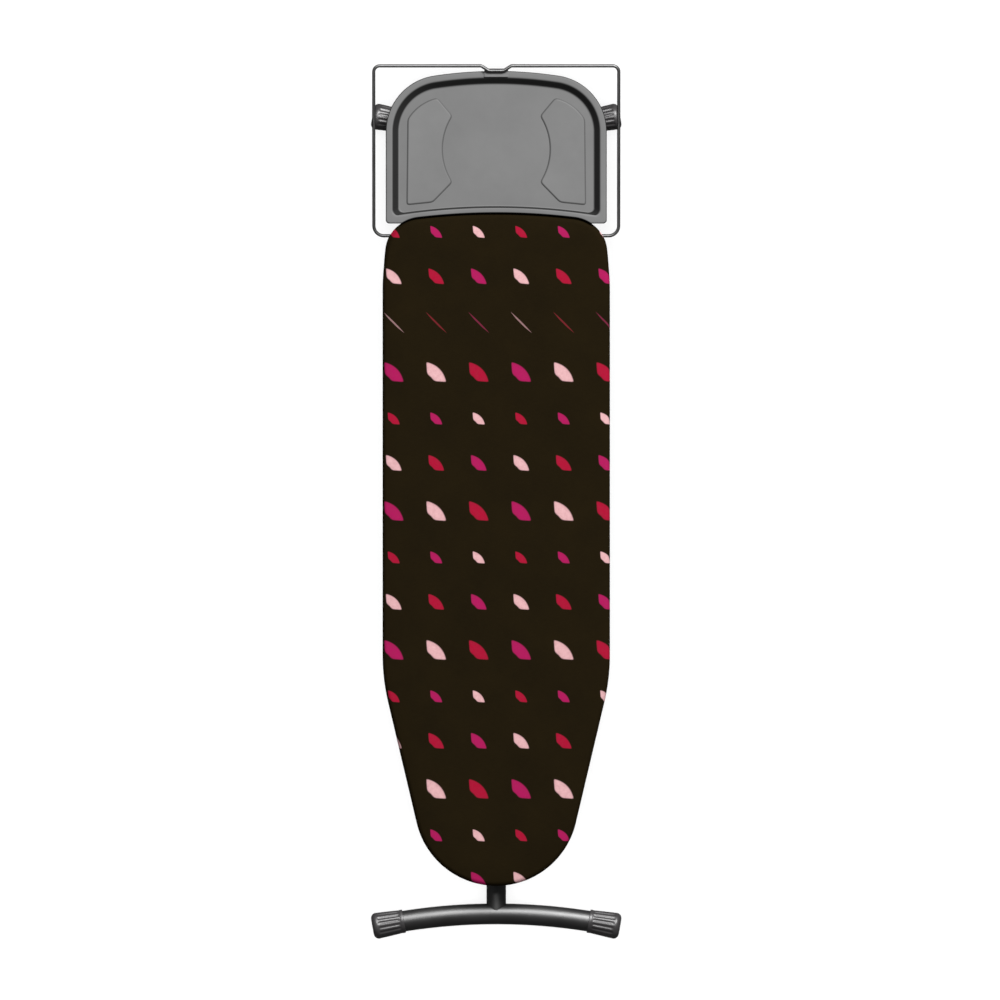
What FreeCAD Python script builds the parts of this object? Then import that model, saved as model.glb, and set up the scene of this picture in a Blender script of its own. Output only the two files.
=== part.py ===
import FreeCAD, Part
import math
import os

import Sketcher

# An ironing board, folded flat and lying on its feet. +Z is the normal of the ironing surface, +Y points
# from the nose to the iron tray, and the origin is under the middle of the folded board, on the floor.
# The X-shaped legs fold at three pivots: leg A hangs from the board, leg B is bolted to its middle, and
# the top of leg B runs along two rails under the board. A sprung clamp on a rod holds the height.

DIMENSIONS = [
    # the ironing surface, measured from the nose tip or from the head edge
    ("head_edge", 484.0, "Y of the middle of the cover's head edge"),
    ("board_length", 1130.0, "nose tip to head edge"),
    ("board_half_width", 191.5, "half the width of the parallel stretch"),
    ("nose_radius", 138.0, "round tip of the nose"),
    ("taper_angle", 13.3, "degrees between a tapering side and the long axis"),
    ("blend_radius", 350.0, "taper into parallel side"),
    ("shoulder_start", 129.6, "head edge to the end of the parallel stretch"),
    ("shoulder_radius", 400.0, "parallel side into head corner"),
    ("corner_radius", 62.0, "head corner"),
    ("head_radius", 1100.0, "crown of the head edge"),
    # frame and soft top
    ("frame_height", 63.0, "Z of the frame tubes' axes"),
    ("frame_radius", 9.0, "perimeter tube"),
    ("tube_wall", 1.2, "wall of the frame tubes"),
    ("frame_joint", 25.0, "perimeter tube's butt joints, from the ends of its straight sides"),
    ("cross_radius", 8.0, "cross tubes and tray arms"),
    ("nose_cross_inset", 81.0, "nose tip to the cross tube near it"),
    ("middle_cross", -100.0, "Y of the middle cross tube"),
    ("mesh_thickness", 0.8, "steel top panel"),
    ("padding_thickness", 8.0, "padding under the cover"),
    ("cover_thickness", 1.6, "fabric"),
    ("cover_edge_radius", 9.0, "rounding of the cover's top edge"),
    ("hem_width", 20.0, "outer edge to the inner edge of the turned-under hem"),
    ("arm_notch_radius", 9.5, "notches in the cover's edge for the tray arms"),
    ("cloth_gap", 0.3, "clearance round soft pieces"),
    ("fixed_gap", 0.2, "clearance between pieces that are fixed together"),
    ("running_gap", 0.05, "radial clearance of turning and sliding fits"),
    # iron tray
    ("tray_half_width", 185.6, "half the tray's width"),
    ("tray_far_edge", 723.6, "Y of the tray's far edge"),
    ("tray_near_ends", 467.4, "Y of the two ends beside the cover"),
    ("tray_far_radius", 700.0, "crown of the far edge"),
    ("tray_shoulder_radius", 95.0, "far corners"),
    ("tray_toe_radius", 6.0, "corners beside the cover"),
    ("tray_gap", 2.5, "tray to cover"),
    ("tray_wall", 2.5, "wall and floor"),
    ("tray_rim", 11.5, "width of the flat rim"),
    ("tray_slope", 10.5, "width of the sloping walls round the well"),
    ("tray_near_rim", 10.0, "head edge to the well"),
    ("tray_near_slope", 2.4, "width of the steeper near wall"),
    ("tray_well_corner", 9.0, "near corners of the well"),
    ("tray_rim_height", 84.3, "Z of the rim"),
    ("tray_lip", 7.0, "height of the rim's outer lip"),
    ("tray_pad_thickness", 1.5, "raised pads on the tray floor"),
    ("tray_pad_outer", 151.0, "X of the pads' straight outer sides"),
    ("tray_pad_start", 498.0, "Y of the pads' near outer corners"),
    ("tray_pad_length", 181.0, "near outer corner to far end"),
    ("tray_pad_width", 78.0, "widest part of a pad"),
    ("tray_pad_waist", 101.0, "radius of its hollowed inner side"),
    ("tray_pad_shoulder", 78.0, "radius of its far outer corner"),
    ("tray_arm_offset", 100.0, "X of the arms that carry the tray"),
    ("tray_arm_end", 690.0, "Y of the arms' free ends"),
    ("clip_length", 16.0, "each tray clip along its arm"),
    ("clip_wall", 2.4, "tray clip"),
    ("rest_width", 40.0, "tab that the hanger rail rests on"),
    ("rest_length", 14.0, "the same tab along Y"),
    ("rest_rise", 2.0, "its top above the rim"),
    # hanger rail
    ("rail_wire_radius", 2.75, "bent wire"),
    ("rail_pivot", 447.2, "Y of the wire's pivot"),
    ("rail_pivot_height", 44.0, "Z of the wire's pivot"),
    ("rail_half_width", 205.8, "half the distance between its long sides"),
    ("rail_far", 732.0, "Y of its top bar when it rests"),
    ("rail_corner_radius", 10.0, "top corners"),
    ("rail_foot_radius", 17.0, "corners near the pivot"),
    ("rail_end", 121.5, "X of the wire's ends"),
    ("notch_half_width", 25.1, "hanger notch at the top bar"),
    ("notch_floor", 12.7, "half its flat floor"),
    ("notch_depth", 8.0, "its depth"),
    ("rail_bracket_offset", 132.2, "X of the middle of each rail bracket"),
    ("rail_bracket_width", 10.0, "bracket along X"),
    ("rail_bracket_length", 13.0, "bracket along Y"),
    ("collar_radius", 5.5, "collar on each wire end"),
    ("collar_width", 5.0, "the same collar along X"),
    # legs
    ("scissor_pivot", -32.8, "Y where the legs cross"),
    ("upper_arm", 478.0, "crossing to a leg's upper pivot"),
    ("lower_arm", 660.7, "crossing to a leg's foot"),
    ("cap_radius", 22.0, "widest part of the foot caps, which is the legs' height when folded"),
    ("leg_a_radius", 16.4, "single leg tube"),
    ("leg_b_radius", 11.0, "twin leg tubes"),
    ("leg_b_offset", 40.0, "X of the twin tubes"),
    ("leg_wall", 1.5, "wall of the leg and foot tubes"),
    ("leg_end", 16.0, "leg tube beyond its upper pivot"),
    ("foot_radius", 17.5, "foot tubes"),
    ("foot_bow", 994.0, "radius of the foot tubes' bow"),
    ("foot_half_width", 209.0, "foot's middle to the end of its cap"),
    ("cap_length", 54.0, "foot cap"),
    ("cap_socket", 36.0, "depth of its socket"),
    ("cap_mouth_radius", 19.4, "foot cap at its mouth"),
    ("cap_gap", 0.3, "foot tube in its cap"),
    ("cap_end_radius", 9.0, "rounding of the cap's end"),
    ("groove_depth", 0.9, "grooves along the cap"),
    ("groove_width", 2.4, "the same grooves"),
    ("groove_count", 20.0, "grooves round a cap"),
    ("collar_step", 4.0, "smooth collar at a cap's mouth"),
    ("brace_offset", 92.0, "leg B's brace, measured back from its foot"),
    ("brace_radius", 8.0, "the same brace"),
    ("pivot_radius", 4.0, "bolts at the upper and middle pivots"),
    ("bolt_head_radius", 7.0, "across the corners of heads and nuts"),
    ("bolt_head_height", 4.5, "heads and nuts"),
    ("bush_length", 36.0, "plug in leg A's upper end"),
    ("bush_flange", 2.0, "its flange outside the tube"),
    ("spacer_radius", 8.0, "spacers between the legs"),
    ("bracket_gap", 0.8, "leg A to the bracket's cheeks"),
    ("bracket_plate", 2.5, "thickness of the leg bracket"),
    ("bracket_half_length", 15.0, "leg bracket along Y"),
    ("bracket_bottom", 9.0, "Z of its lower edge"),
    # sliding carriage, rails and height clamp
    ("slide_pin_radius", 5.0, "pins at the top of leg B"),
    ("slide_head_radius", 8.0, "their heads"),
    ("slide_head_height", 2.5, "the same heads"),
    ("ear_gap", 1.0, "leg B to the carriage's ears"),
    ("ear_thickness", 3.0, "carriage ears"),
    ("ear_half_length", 16.0, "the same ears along Y"),
    ("ear_bottom", 11.0, "Z of their lower edges"),
    ("slide_rail_gap", 0.5, "ears to the rails"),
    ("slide_rail_depth", 14.0, "rail along X"),
    ("slide_rail_height", 16.0, "rail along Z"),
    ("slide_rail_wall", 1.5, "rail's sheet"),
    ("rail_overhang", 8.0, "rails beyond the cross tubes"),
    ("slider_gap", 0.4, "slider blocks in the rails"),
    ("clamp_rod_radius", 4.0, "rod that the clamp grips"),
    ("clamp_rod_height", 49.0, "Z of its axis"),
    ("clamp_rod_gap", 0.5, "rod through the bridge"),
    ("clamp_bite", 0.55, "rod through the clamp plate"),
    ("rod_block_width", 16.0, "blocks that hold the rod"),
    ("rod_block_length", 12.0, "the same blocks along Y"),
    ("bridge_thickness", 12.0, "carriage bridge along Y"),
    ("bridge_bottom", 41.0, "Z of its lower face"),
    ("bridge_top", 60.0, "Z of its upper face"),
    ("lever_pin_radius", 2.5, "pin of the clamp plate"),
    ("lever_pin_offset", 27.0, "slide pins to lever pin, towards the nose"),
    ("lug_thickness", 3.0, "lugs that hold the lever pin"),
    ("lug_radius", 6.0, "the same lugs round the pin"),
    ("plate_half_width", 9.0, "clamp plate"),
    ("plate_thickness", 2.5, "the same plate"),
    ("plate_drop", 20.0, "pin to the plate's lower edge"),
    ("lever_cant", 10.0, "degrees that the plate leans when it grips"),
    ("handle_radius", 3.0, "release handle"),
    ("handle_root_drop", 17.0, "pin to the handle's root"),
    ("handle_drop", 27.0, "pin to the handle's long run"),
    ("handle_step", 24.0, "X where the handle steps down"),
    ("handle_end", 126.0, "X of the handle's end"),
    ("handle_bend", 5.0, "radius of its two bends"),
    ("grip_radius", 7.0, "grip on the handle"),
    ("grip_length", 38.0, "the same grip"),
    ("spring_radius", 5.0, "coil on the lever pin"),
    ("spring_wire", 0.7, "radius of its wire"),
    ("spring_pitch", 1.8, "distance between its turns"),
    ("spring_turns", 4.0, "number of turns"),
]

doc = FreeCAD.newDocument("IroningBoard")
sheet = doc.addObject("Spreadsheet::Sheet", "Dims")
for row, (alias, amount, note) in enumerate(DIMENSIONS, start=1):
    sheet.set(f"A{row}", alias)
    sheet.set(f"B{row}", str(amount))
    sheet.setAlias(f"B{row}", alias)
    sheet.set(f"C{row}", note)
doc.recompute()

# Places that several sub-parts share, as expressions on the sheet.
LEG_Z = "Dims.cap_radius"
FRAME_Z = "Dims.frame_height"
UPPER_PIVOT = "(Dims.scissor_pivot + Dims.upper_arm)"
SLIDE_PIVOT = "(Dims.scissor_pivot - Dims.upper_arm)"
FOOT_A = "(Dims.scissor_pivot - Dims.lower_arm)"
FOOT_B = "(Dims.scissor_pivot + Dims.lower_arm)"
NOSE_TIP = "(Dims.head_edge - Dims.board_length)"
NOSE_CROSS = f"({NOSE_TIP} + Dims.nose_cross_inset)"
FRAME_INSET = "(Dims.cover_thickness + 2 * Dims.cloth_gap + Dims.frame_radius)"
CROSS_BOTTOM = "(Dims.frame_height - Dims.cross_radius - Dims.cloth_gap)"
MESH_BOTTOM = "(Dims.frame_height + Dims.frame_radius + Dims.cloth_gap)"
PADDING_BOTTOM = f"({MESH_BOTTOM} + Dims.mesh_thickness + Dims.cloth_gap)"
COVER_INSIDE = f"({PADDING_BOTTOM} + Dims.padding_thickness + Dims.cloth_gap)"
HEM_TOP = "(Dims.frame_height - Dims.frame_radius - 2 * Dims.cloth_gap)"
TRAY_BOTTOM = "(Dims.frame_height + Dims.cross_radius + Dims.cloth_gap)"
CLIP_INNER = "(Dims.cross_radius + Dims.fixed_gap)"
EAR_INNER = "(Dims.leg_b_offset + Dims.leg_b_radius + Dims.ear_gap)"
EAR_OUTER = f"({EAR_INNER} + Dims.ear_thickness)"
RAILS_START = f"({NOSE_CROSS} - Dims.rail_overhang)"
RAILS_LENGTH = f"(Dims.middle_cross - {NOSE_CROSS} + 2 * Dims.rail_overhang)"
CHEEK = "(Dims.leg_a_radius + Dims.bracket_gap)"
LEVER_PIN_Y = f"({SLIDE_PIVOT} - Dims.lever_pin_offset)"
LUG_INNER = "(Dims.plate_half_width + Dims.ear_gap)"
REST_TOP = "(Dims.tray_rim_height + Dims.rest_rise)"

ALONG_X = FreeCAD.Rotation(FreeCAD.Vector(0, 1, 0), 90)
ALONG_Y = FreeCAD.Rotation(FreeCAD.Vector(1, 0, 0), -90)
ALONG_Z = FreeCAD.Rotation()
SIDES = (("left", -1), ("right", 1))
PARTS = []


def val(expression):
    """The number that an expression on the sheet gives."""
    return float(sheet.evalExpression(str(expression)))


def bind(obj, **properties):
    """Drive properties of an object by expressions on the sheet."""
    for name, expression in properties.items():
        obj.setExpression(name, str(expression))
    return obj


def place(obj, x=0, y=0, z=0, turn=ALONG_Z):
    """Give an object a rotation, and a position that follows the sheet."""
    obj.Placement = FreeCAD.Placement(FreeCAD.Vector(), turn)
    for axis, expression in zip("xyz", (x, y, z)):
        obj.setExpression(f"Placement.Base.{axis}", str(expression))
    return obj


def part(obj, label):
    """Mark an object as one finished piece."""
    obj.Label = label
    PARTS.append(obj)
    return obj


# ---- primitives and booleans ----


def rod(name, radius, length, turn=ALONG_Z, **at):
    """A round bar that starts at a point and runs along one axis."""
    bar = doc.addObject("Part::Cylinder", name)
    bind(bar, Radius=radius, Height=length)
    return place(bar, turn=turn, **at)


def cross_rod(name, radius, half_length, **at):
    """A round bar along X, centred on X = 0."""
    return rod(name, radius, f"2 * {half_length}", ALONG_X, x=f"-({half_length})", **at)


def block(name, length, width, height, **at):
    """A box from its lowest corner."""
    box = doc.addObject("Part::Box", name)
    bind(box, Length=length, Width=width, Height=height)
    return place(box, **at)


def hexagon(name, height, **at):
    """A hexagonal head or nut along X."""
    prism = doc.addObject("Part::Prism", name)
    prism.Polygon = 6
    bind(prism, Circumradius="Dims.bolt_head_radius", Height=height)
    return place(prism, turn=ALONG_X, **at)


def cut(name, base, *tools):
    """The base without its tools."""
    for number, tool in enumerate(tools):
        result = doc.addObject("Part::Cut", f"{name}_cut{number}")
        result.Base = base
        result.Tool = tool
        base = result
    return base


def fuse(name, *pieces):
    """Several solids as one."""
    whole = doc.addObject("Part::MultiFuse", f"{name}_fuse")
    whole.Shapes = list(pieces)
    return whole


def common(name, base, tool):
    """What two solids share."""
    shared = doc.addObject("Part::Common", f"{name}_common")
    shared.Base = base
    shared.Tool = tool
    return shared


# ---- sketches ----


def new_body(name):
    return doc.addObject("PartDesign::Body", name)


def origin_plane(body, role):
    return next(f for f in body.Origin.OriginFeatures if f.Role == role)


def new_sketch(body, name, role="XY_Plane", offset=None):
    """A sketch on one of the body's own planes, moved along that plane's normal."""
    sketch = body.newObject("Sketcher::SketchObject", name)
    sketch.AttachmentSupport = [(origin_plane(body, role), "")]
    sketch.MapMode = "FlatFace"
    if offset is not None:
        sketch.setExpression("AttachmentOffset.Base.z", str(offset))
        sketch.recompute()
    return sketch


def limit(sketch, kind, *ends, to):
    """Add a dimension to a sketch and drive it by an expression."""
    index = sketch.addConstraint(Sketcher.Constraint(kind, *ends, val(to)))
    sketch.setExpression(f"Constraints[{index}]", str(to))


def pin(sketch, geometry, end, x, y):
    """Hold one point of a sketch at a place given by two expressions."""
    limit(sketch, "DistanceX", -1, 1, geometry, end, to=x)
    limit(sketch, "DistanceY", -1, 1, geometry, end, to=y)


def line(sketch, start, end, construction=False):
    a, b = FreeCAD.Vector(*start, 0), FreeCAD.Vector(*end, 0)
    return sketch.addGeometry(Part.LineSegment(a, b), construction)


def arc(sketch, centre, radius, start, end):
    """An arc that runs anticlockwise between two angles in radians."""
    circle = Part.Circle(FreeCAD.Vector(*centre, 0), FreeCAD.Vector(0, 0, 1), radius)
    return sketch.addGeometry(Part.ArcOfCircle(circle, start, end), False)


def circle(sketch, x, y, radius):
    """A circle whose centre and radius follow the sheet."""
    middle = FreeCAD.Vector(val(x), val(y), 0)
    ring = sketch.addGeometry(Part.Circle(middle, FreeCAD.Vector(0, 0, 1), val(radius)), False)
    limit(sketch, "Radius", ring, to=radius)
    pin(sketch, ring, 3, x, y)
    return ring


def polygon(sketch, corners):
    """A closed outline whose every corner follows the sheet."""
    places = [(val(x), val(y)) for x, y in corners]
    sides = [line(sketch, p, q) for p, q in zip(places, places[1:] + places[:1])]
    for side, following, corner in zip(sides, sides[1:] + sides[:1], corners):
        pin(sketch, side, 1, *corner)
        sketch.addConstraint(Sketcher.Constraint("Coincident", side, 2, following, 1))
    return sides


def bent_path(sketch, corners, radii):
    """An open path of straight runs joined by tangent arcs at its inner corners."""
    places = [FreeCAD.Vector(val(x), val(y), 0) for x, y in corners]
    guides = [line(sketch, (p.x, p.y), (q.x, q.y), True) for p, q in zip(places, places[1:])]
    for guide, corner in zip(guides, corners):
        pin(sketch, guide, 1, *corner)
    pin(sketch, guides[-1], 2, *corners[-1])
    for guide, following in zip(guides, guides[1:]):
        sketch.addConstraint(Sketcher.Constraint("Coincident", guide, 2, following, 1))
    ends = [places[0]]
    arcs = []
    for before, corner, after, radius in zip(places, places[1:], places[2:], radii):
        into, out = (corner - before).normalize(), (after - corner).normalize()
        half_turn = math.acos(max(-1, min(1, into.dot(out)))) / 2
        reach = val(radius) * math.tan(half_turn)
        first, last = corner - into * reach, corner + out * reach
        middle = corner + (out - into).normalize() * (val(radius) / math.cos(half_turn))
        arcs.append((first, middle, last, into.cross(out).z > 0, radius))
        ends += [first, last]
    ends.append(places[-1])
    order = []
    for number, guide in enumerate(guides):
        run = line(sketch, (ends[2 * number].x, ends[2 * number].y),
                   (ends[2 * number + 1].x, ends[2 * number + 1].y))
        for end, tip_of_path in ((1, number == 0), (2, number == len(guides) - 1)):
            if tip_of_path:
                sketch.addConstraint(Sketcher.Constraint("Coincident", run, end, guide, end))
            else:
                sketch.addConstraint(Sketcher.Constraint("PointOnObject", run, end, guide))
        order.append(run)
        if number < len(arcs):
            order.append(bend(sketch, *arcs[number]))
    for number in range(1, len(order), 2):
        turns_left = arcs[number // 2][3]
        near, far = (1, 2) if turns_left else (2, 1)
        sketch.addConstraint(Sketcher.Constraint("Tangent", order[number - 1], 2, order[number], near))
        sketch.addConstraint(Sketcher.Constraint("Tangent", order[number], far, order[number + 1], 1))


def bend(sketch, first, middle, last, turns_left, radius):
    """One arc of a bent path, with its radius bound to the sheet."""
    start, end = (first, last) if turns_left else (last, first)
    angles = [math.atan2(p.y - middle.y, p.x - middle.x) for p in (start, end)]
    index = arc(sketch, (middle.x, middle.y), val(radius), *angles)
    limit(sketch, "Radius", index, to=radius)
    return index


def tangent(sketch, first, first_end, second, second_end):
    sketch.addConstraint(Sketcher.Constraint("Tangent", first, first_end, second, second_end))


def head_corner():
    """X and Y of the centre of a head corner, which touches the head arc and the shoulder arc inside."""
    from_head = val("Dims.head_radius - Dims.corner_radius")
    from_shoulder = val("Dims.shoulder_radius - Dims.corner_radius")
    head = (0, val("Dims.head_edge - Dims.head_radius"))
    shoulder = (val("Dims.board_half_width - Dims.shoulder_radius"),
                val("Dims.head_edge - Dims.shoulder_start"))
    across, up = shoulder[0] - head[0], shoulder[1] - head[1]
    span = math.hypot(across, up)
    along = (from_head ** 2 - from_shoulder ** 2 + span ** 2) / (2 * span)
    aside = math.sqrt(from_head ** 2 - along ** 2)
    return (head[0] + (along * across + aside * up) / span,
            head[1] + (along * up - aside * across) / span)


def mirrored(sign, first, last):
    """The angles of an arc on the right side, or of its mirror image on the left."""
    return (first, last) if sign > 0 else (math.pi - last, math.pi - first)


def hold_head_arc(sketch, index, offset):
    """Centre and radius of an arc that runs beside the head edge of the board."""
    limit(sketch, "Radius", index, to=f"Dims.head_radius + {offset}")
    pin(sketch, index, 3, "0", "Dims.head_edge - Dims.head_radius")


def board_outline(sketch, inset):
    """The board's outline, drawn inwards by an inset: a round nose, tapering sides, and a crowned head."""
    inset_now = val(inset)
    half = val("Dims.board_half_width")
    taper = math.radians(val("Dims.taper_angle"))
    nose, blend, shoulder, corner, head = (
        val(f"Dims.{name}_radius") for name in ("nose", "blend", "shoulder", "corner", "head"))
    nose_y = val(f"{NOSE_TIP} + Dims.nose_radius")
    head_y = val("Dims.head_edge - Dims.head_radius")
    # The taper line touches the nose circle and the blend circle, so it fixes where the blend's centre is.
    blend_x = half - blend
    along = (blend_x + (blend - nose) * math.cos(taper)) / math.sin(taper)
    blend_y = nose_y + along * math.cos(taper) + (blend - nose) * math.sin(taper)
    shoulder_x, shoulder_y = half - shoulder, val("Dims.head_edge - Dims.shoulder_start")
    corner_x, corner_y = head_corner()
    lean = math.atan2(corner_y - shoulder_y, corner_x - shoulder_x)
    crown = math.atan2(corner_y - head_y, corner_x)
    side_x = half - inset_now
    slopes, heads = {}, {}
    for sign in (-1, 1):
        near, far = (1, 2) if sign > 0 else (2, 1)
        top = arc(sketch, (0, head_y), head - inset_now, *mirrored(sign, crown, math.pi / 2))
        turn = arc(sketch, (sign * corner_x, corner_y), corner - inset_now, *mirrored(sign, lean, crown))
        ease = arc(sketch, (sign * shoulder_x, shoulder_y), shoulder - inset_now, *mirrored(sign, 0, lean))
        side = line(sketch, (sign * side_x, shoulder_y), (sign * side_x, blend_y))
        merge = arc(sketch, (sign * blend_x, blend_y), blend - inset_now, *mirrored(sign, -taper, 0))
        slope = line(sketch, *[
            (sign * (x + (radius - inset_now) * math.cos(taper)), y - (radius - inset_now) * math.sin(taper))
            for x, y, radius in ((blend_x, blend_y, blend), (0, nose_y, nose))])
        tangent(sketch, top, near, turn, far)
        tangent(sketch, turn, near, ease, far)
        tangent(sketch, ease, near, side, 1)
        tangent(sketch, side, 2, merge, far)
        tangent(sketch, merge, near, slope, 1)
        sketch.addConstraint(Sketcher.Constraint("Vertical", side))
        limit(sketch, "DistanceX", -1, 1, side, 1, to=f"{sign} * (Dims.board_half_width - {inset})")
        limit(sketch, "DistanceY", -1, 1, side, 1, to="Dims.head_edge - Dims.shoulder_start")
        for index, name in ((turn, "corner"), (ease, "shoulder"), (merge, "blend")):
            limit(sketch, "Radius", index, to=f"Dims.{name}_radius - {inset}")
        slopes[sign], heads[sign] = slope, top
    hold_head_arc(sketch, heads[-1], f"-({inset})")
    sketch.addConstraint(Sketcher.Constraint("PointOnObject", heads[-1], 1, -2))
    tangent(sketch, heads[-1], 1, heads[1], 2)
    limit(sketch, "Radius", heads[1], to=f"Dims.head_radius - {inset}")
    tip = arc(sketch, (0, nose_y), nose - inset_now, math.pi + taper, 2 * math.pi - taper)
    tangent(sketch, slopes[1], 2, tip, 2)
    tangent(sketch, slopes[-1], 2, tip, 1)
    limit(sketch, "Radius", tip, to=f"Dims.nose_radius - {inset}")
    pin(sketch, tip, 3, "0", f"{NOSE_TIP} + Dims.nose_radius")


def far_side(sketch, inset, lower_y):
    """The tray's crowned far edge, its far corners and its straight sides, drawn inwards by an inset.

    Returns the two side lines; their lower ends are free."""
    inset_now = val(inset)
    half = val("Dims.tray_half_width")
    crown = val("Dims.tray_far_radius")
    shoulder = val("Dims.tray_shoulder_radius")
    crown_y = val("Dims.tray_far_edge - Dims.tray_far_radius")
    lean = math.acos((half - shoulder) / (crown - shoulder))
    shoulder_y = crown_y + (crown - shoulder) * math.sin(lean)
    top = arc(sketch, (0, crown_y), crown - inset_now, lean, math.pi - lean)
    pin(sketch, top, 3, "0", "Dims.tray_far_edge - Dims.tray_far_radius")
    limit(sketch, "Radius", top, to=f"Dims.tray_far_radius - {inset}")
    sides = {}
    for sign in (1, -1):
        near, far = (1, 2) if sign > 0 else (2, 1)
        bow = arc(sketch, (sign * (half - shoulder), shoulder_y), shoulder - inset_now,
                  *mirrored(sign, 0, lean))
        side = line(sketch, (sign * (half - inset_now), shoulder_y), (sign * (half - inset_now), lower_y))
        tangent(sketch, top, near, bow, far)
        tangent(sketch, bow, near, side, 1)
        sketch.addConstraint(Sketcher.Constraint("Vertical", side))
        limit(sketch, "DistanceX", -1, 1, side, 1, to=f"{sign} * (Dims.tray_half_width - {inset})")
        limit(sketch, "Radius", bow, to=f"Dims.tray_shoulder_radius - {inset}")
        sides[sign] = side
    return sides


def tray_outline(sketch, inset):
    """The whole tray: its near edge follows the head of the board between two short soles."""
    half = val(f"Dims.tray_half_width - {inset}")
    sole_y = val(f"Dims.tray_near_ends + {inset}")
    toe = val("Dims.tray_toe_radius")
    offset = f"(Dims.tray_gap + {inset})"
    corner_x, corner_y = head_corner()
    head_y = val("Dims.head_edge - Dims.head_radius")
    crown = math.atan2(corner_y - head_y, corner_x)
    cove = val(f"Dims.corner_radius + {offset}")
    cove_start = math.asin((sole_y - corner_y) / cove)
    cove_x = corner_x + cove * math.cos(cove_start)
    sides = far_side(sketch, inset, sole_y + toe)
    head = arc(sketch, (0, head_y), val(f"Dims.head_radius + {offset}"), crown, math.pi - crown)
    hold_head_arc(sketch, head, offset)
    for sign in (1, -1):
        near, far = (1, 2) if sign > 0 else (2, 1)
        foot = arc(sketch, (sign * (half - toe), sole_y + toe), toe, *mirrored(sign, -math.pi / 2, 0))
        sole = line(sketch, (sign * (half - toe), sole_y), (sign * cove_x, sole_y))
        hollow = arc(sketch, (sign * corner_x, corner_y), cove, *mirrored(sign, cove_start, crown))
        tangent(sketch, sides[sign], 2, foot, far)
        tangent(sketch, foot, near, sole, 1)
        sketch.addConstraint(Sketcher.Constraint("Coincident", sole, 2, hollow, near))
        tangent(sketch, hollow, far, head, near)
        sketch.addConstraint(Sketcher.Constraint("Horizontal", sole))
        limit(sketch, "Radius", foot, to="Dims.tray_toe_radius")
        limit(sketch, "DistanceY", -1, 1, sole, 1, to=f"Dims.tray_near_ends + {inset}")
        limit(sketch, "Radius", hollow, to=f"Dims.corner_radius + {offset}")
        limit(sketch, "DistanceX", -1, 1, hollow, 3, to=sign * corner_x)


def well_outline(sketch, inset, offset):
    """The tray's well: the same far side, and a near edge at an offset from the head of the board."""
    half = val(f"Dims.tray_half_width - {inset}")
    turn = val("Dims.tray_well_corner")
    head_y = val("Dims.head_edge - Dims.head_radius")
    near_radius = val(f"Dims.head_radius + {offset}")
    turn_x = half - turn
    turn_y = head_y + math.sqrt((near_radius + turn) ** 2 - turn_x ** 2)
    crown = math.atan2(turn_y - head_y, turn_x)
    sides = far_side(sketch, inset, turn_y)
    head = arc(sketch, (0, head_y), near_radius, crown, math.pi - crown)
    hold_head_arc(sketch, head, offset)
    for sign in (1, -1):
        near, far = (1, 2) if sign > 0 else (2, 1)
        corner = arc(sketch, (sign * turn_x, turn_y), turn, *mirrored(sign, crown - math.pi, 0))
        tangent(sketch, sides[sign], 2, corner, far)
        tangent(sketch, corner, near, head, near)
        limit(sketch, "Radius", corner, to="Dims.tray_well_corner")


# ---- PartDesign features ----


def pad(body, sketch, length, both_ways=False):
    feature = body.newObject("PartDesign::Pad", f"{sketch.Name}_pad")
    feature.Profile = sketch
    bind(feature, Length=length)
    feature.Midplane = both_ways
    sketch.Visibility = False
    return feature


def pocket(body, sketch, depth, reversed_way=False, both_ways=False):
    """Cut a sketch away; the solid has to lose volume."""
    doc.recompute()
    before = body.Shape.Volume
    feature = body.newObject("PartDesign::Pocket", f"{sketch.Name}_pocket")
    feature.Profile = sketch
    bind(feature, Length=depth)
    feature.Midplane = both_ways
    feature.Reversed = reversed_way
    doc.recompute()
    assert body.Shape.Volume < before - 1e-3, f"{sketch.Name} cuts nothing"
    return feature


def slab(name, outline, inset, bottom, thickness):
    """A plate with one of the outlines, from a height upwards."""
    body = new_body(name)
    sketch = new_sketch(body, f"{name}_outline", offset=bottom)
    outline(sketch, inset)
    pad(body, sketch, thickness)
    return body


def pipe(body, spine, profile, hollow=None):
    """Sweep a profile along a path, and cut a smaller one out of it."""
    steps = [("PartDesign::AdditivePipe", profile)]
    if hollow is not None:
        steps.append(("PartDesign::SubtractivePipe", hollow))
    for kind, section in steps:
        feature = body.newObject(kind, f"{section.Name}_sweep")
        feature.Profile = section
        feature.Spine = (spine, [])
        feature.Transition = "Transformed"


def level_edges(body, height):
    """Names of the edges that lie at one height."""
    doc.recompute()
    names = []
    for number, edge in enumerate(body.Shape.Edges, start=1):
        box = edge.BoundBox
        if abs(box.ZMin - height) < 1e-4 and abs(box.ZMax - height) < 1e-4:
            names.append(f"Edge{number}")
    return names


def round_edges(body, name, edges, radius):
    base = body.Tip
    feature = body.newObject("PartDesign::Fillet", name)
    feature.Base = (base, edges)
    bind(feature, Radius=radius)
    doc.recompute()
    return feature


# ---- board: frame and soft top ----


def swept_frame(name, *radii):
    """A round bar along the board's outline, or a tube if a second radius gives its bore."""
    body = new_body(name)
    path = new_sketch(body, f"{name}_path", offset=FRAME_Z)
    board_outline(path, FRAME_INSET)
    sections = []
    for number, radius in enumerate(radii):
        section = new_sketch(body, f"{name}_section{number}", "YZ_Plane")
        circle(section, f"Dims.head_edge - {FRAME_INSET}", FRAME_Z, radius)
        sections.append(section)
    pipe(body, path, *sections)
    return body


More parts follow.
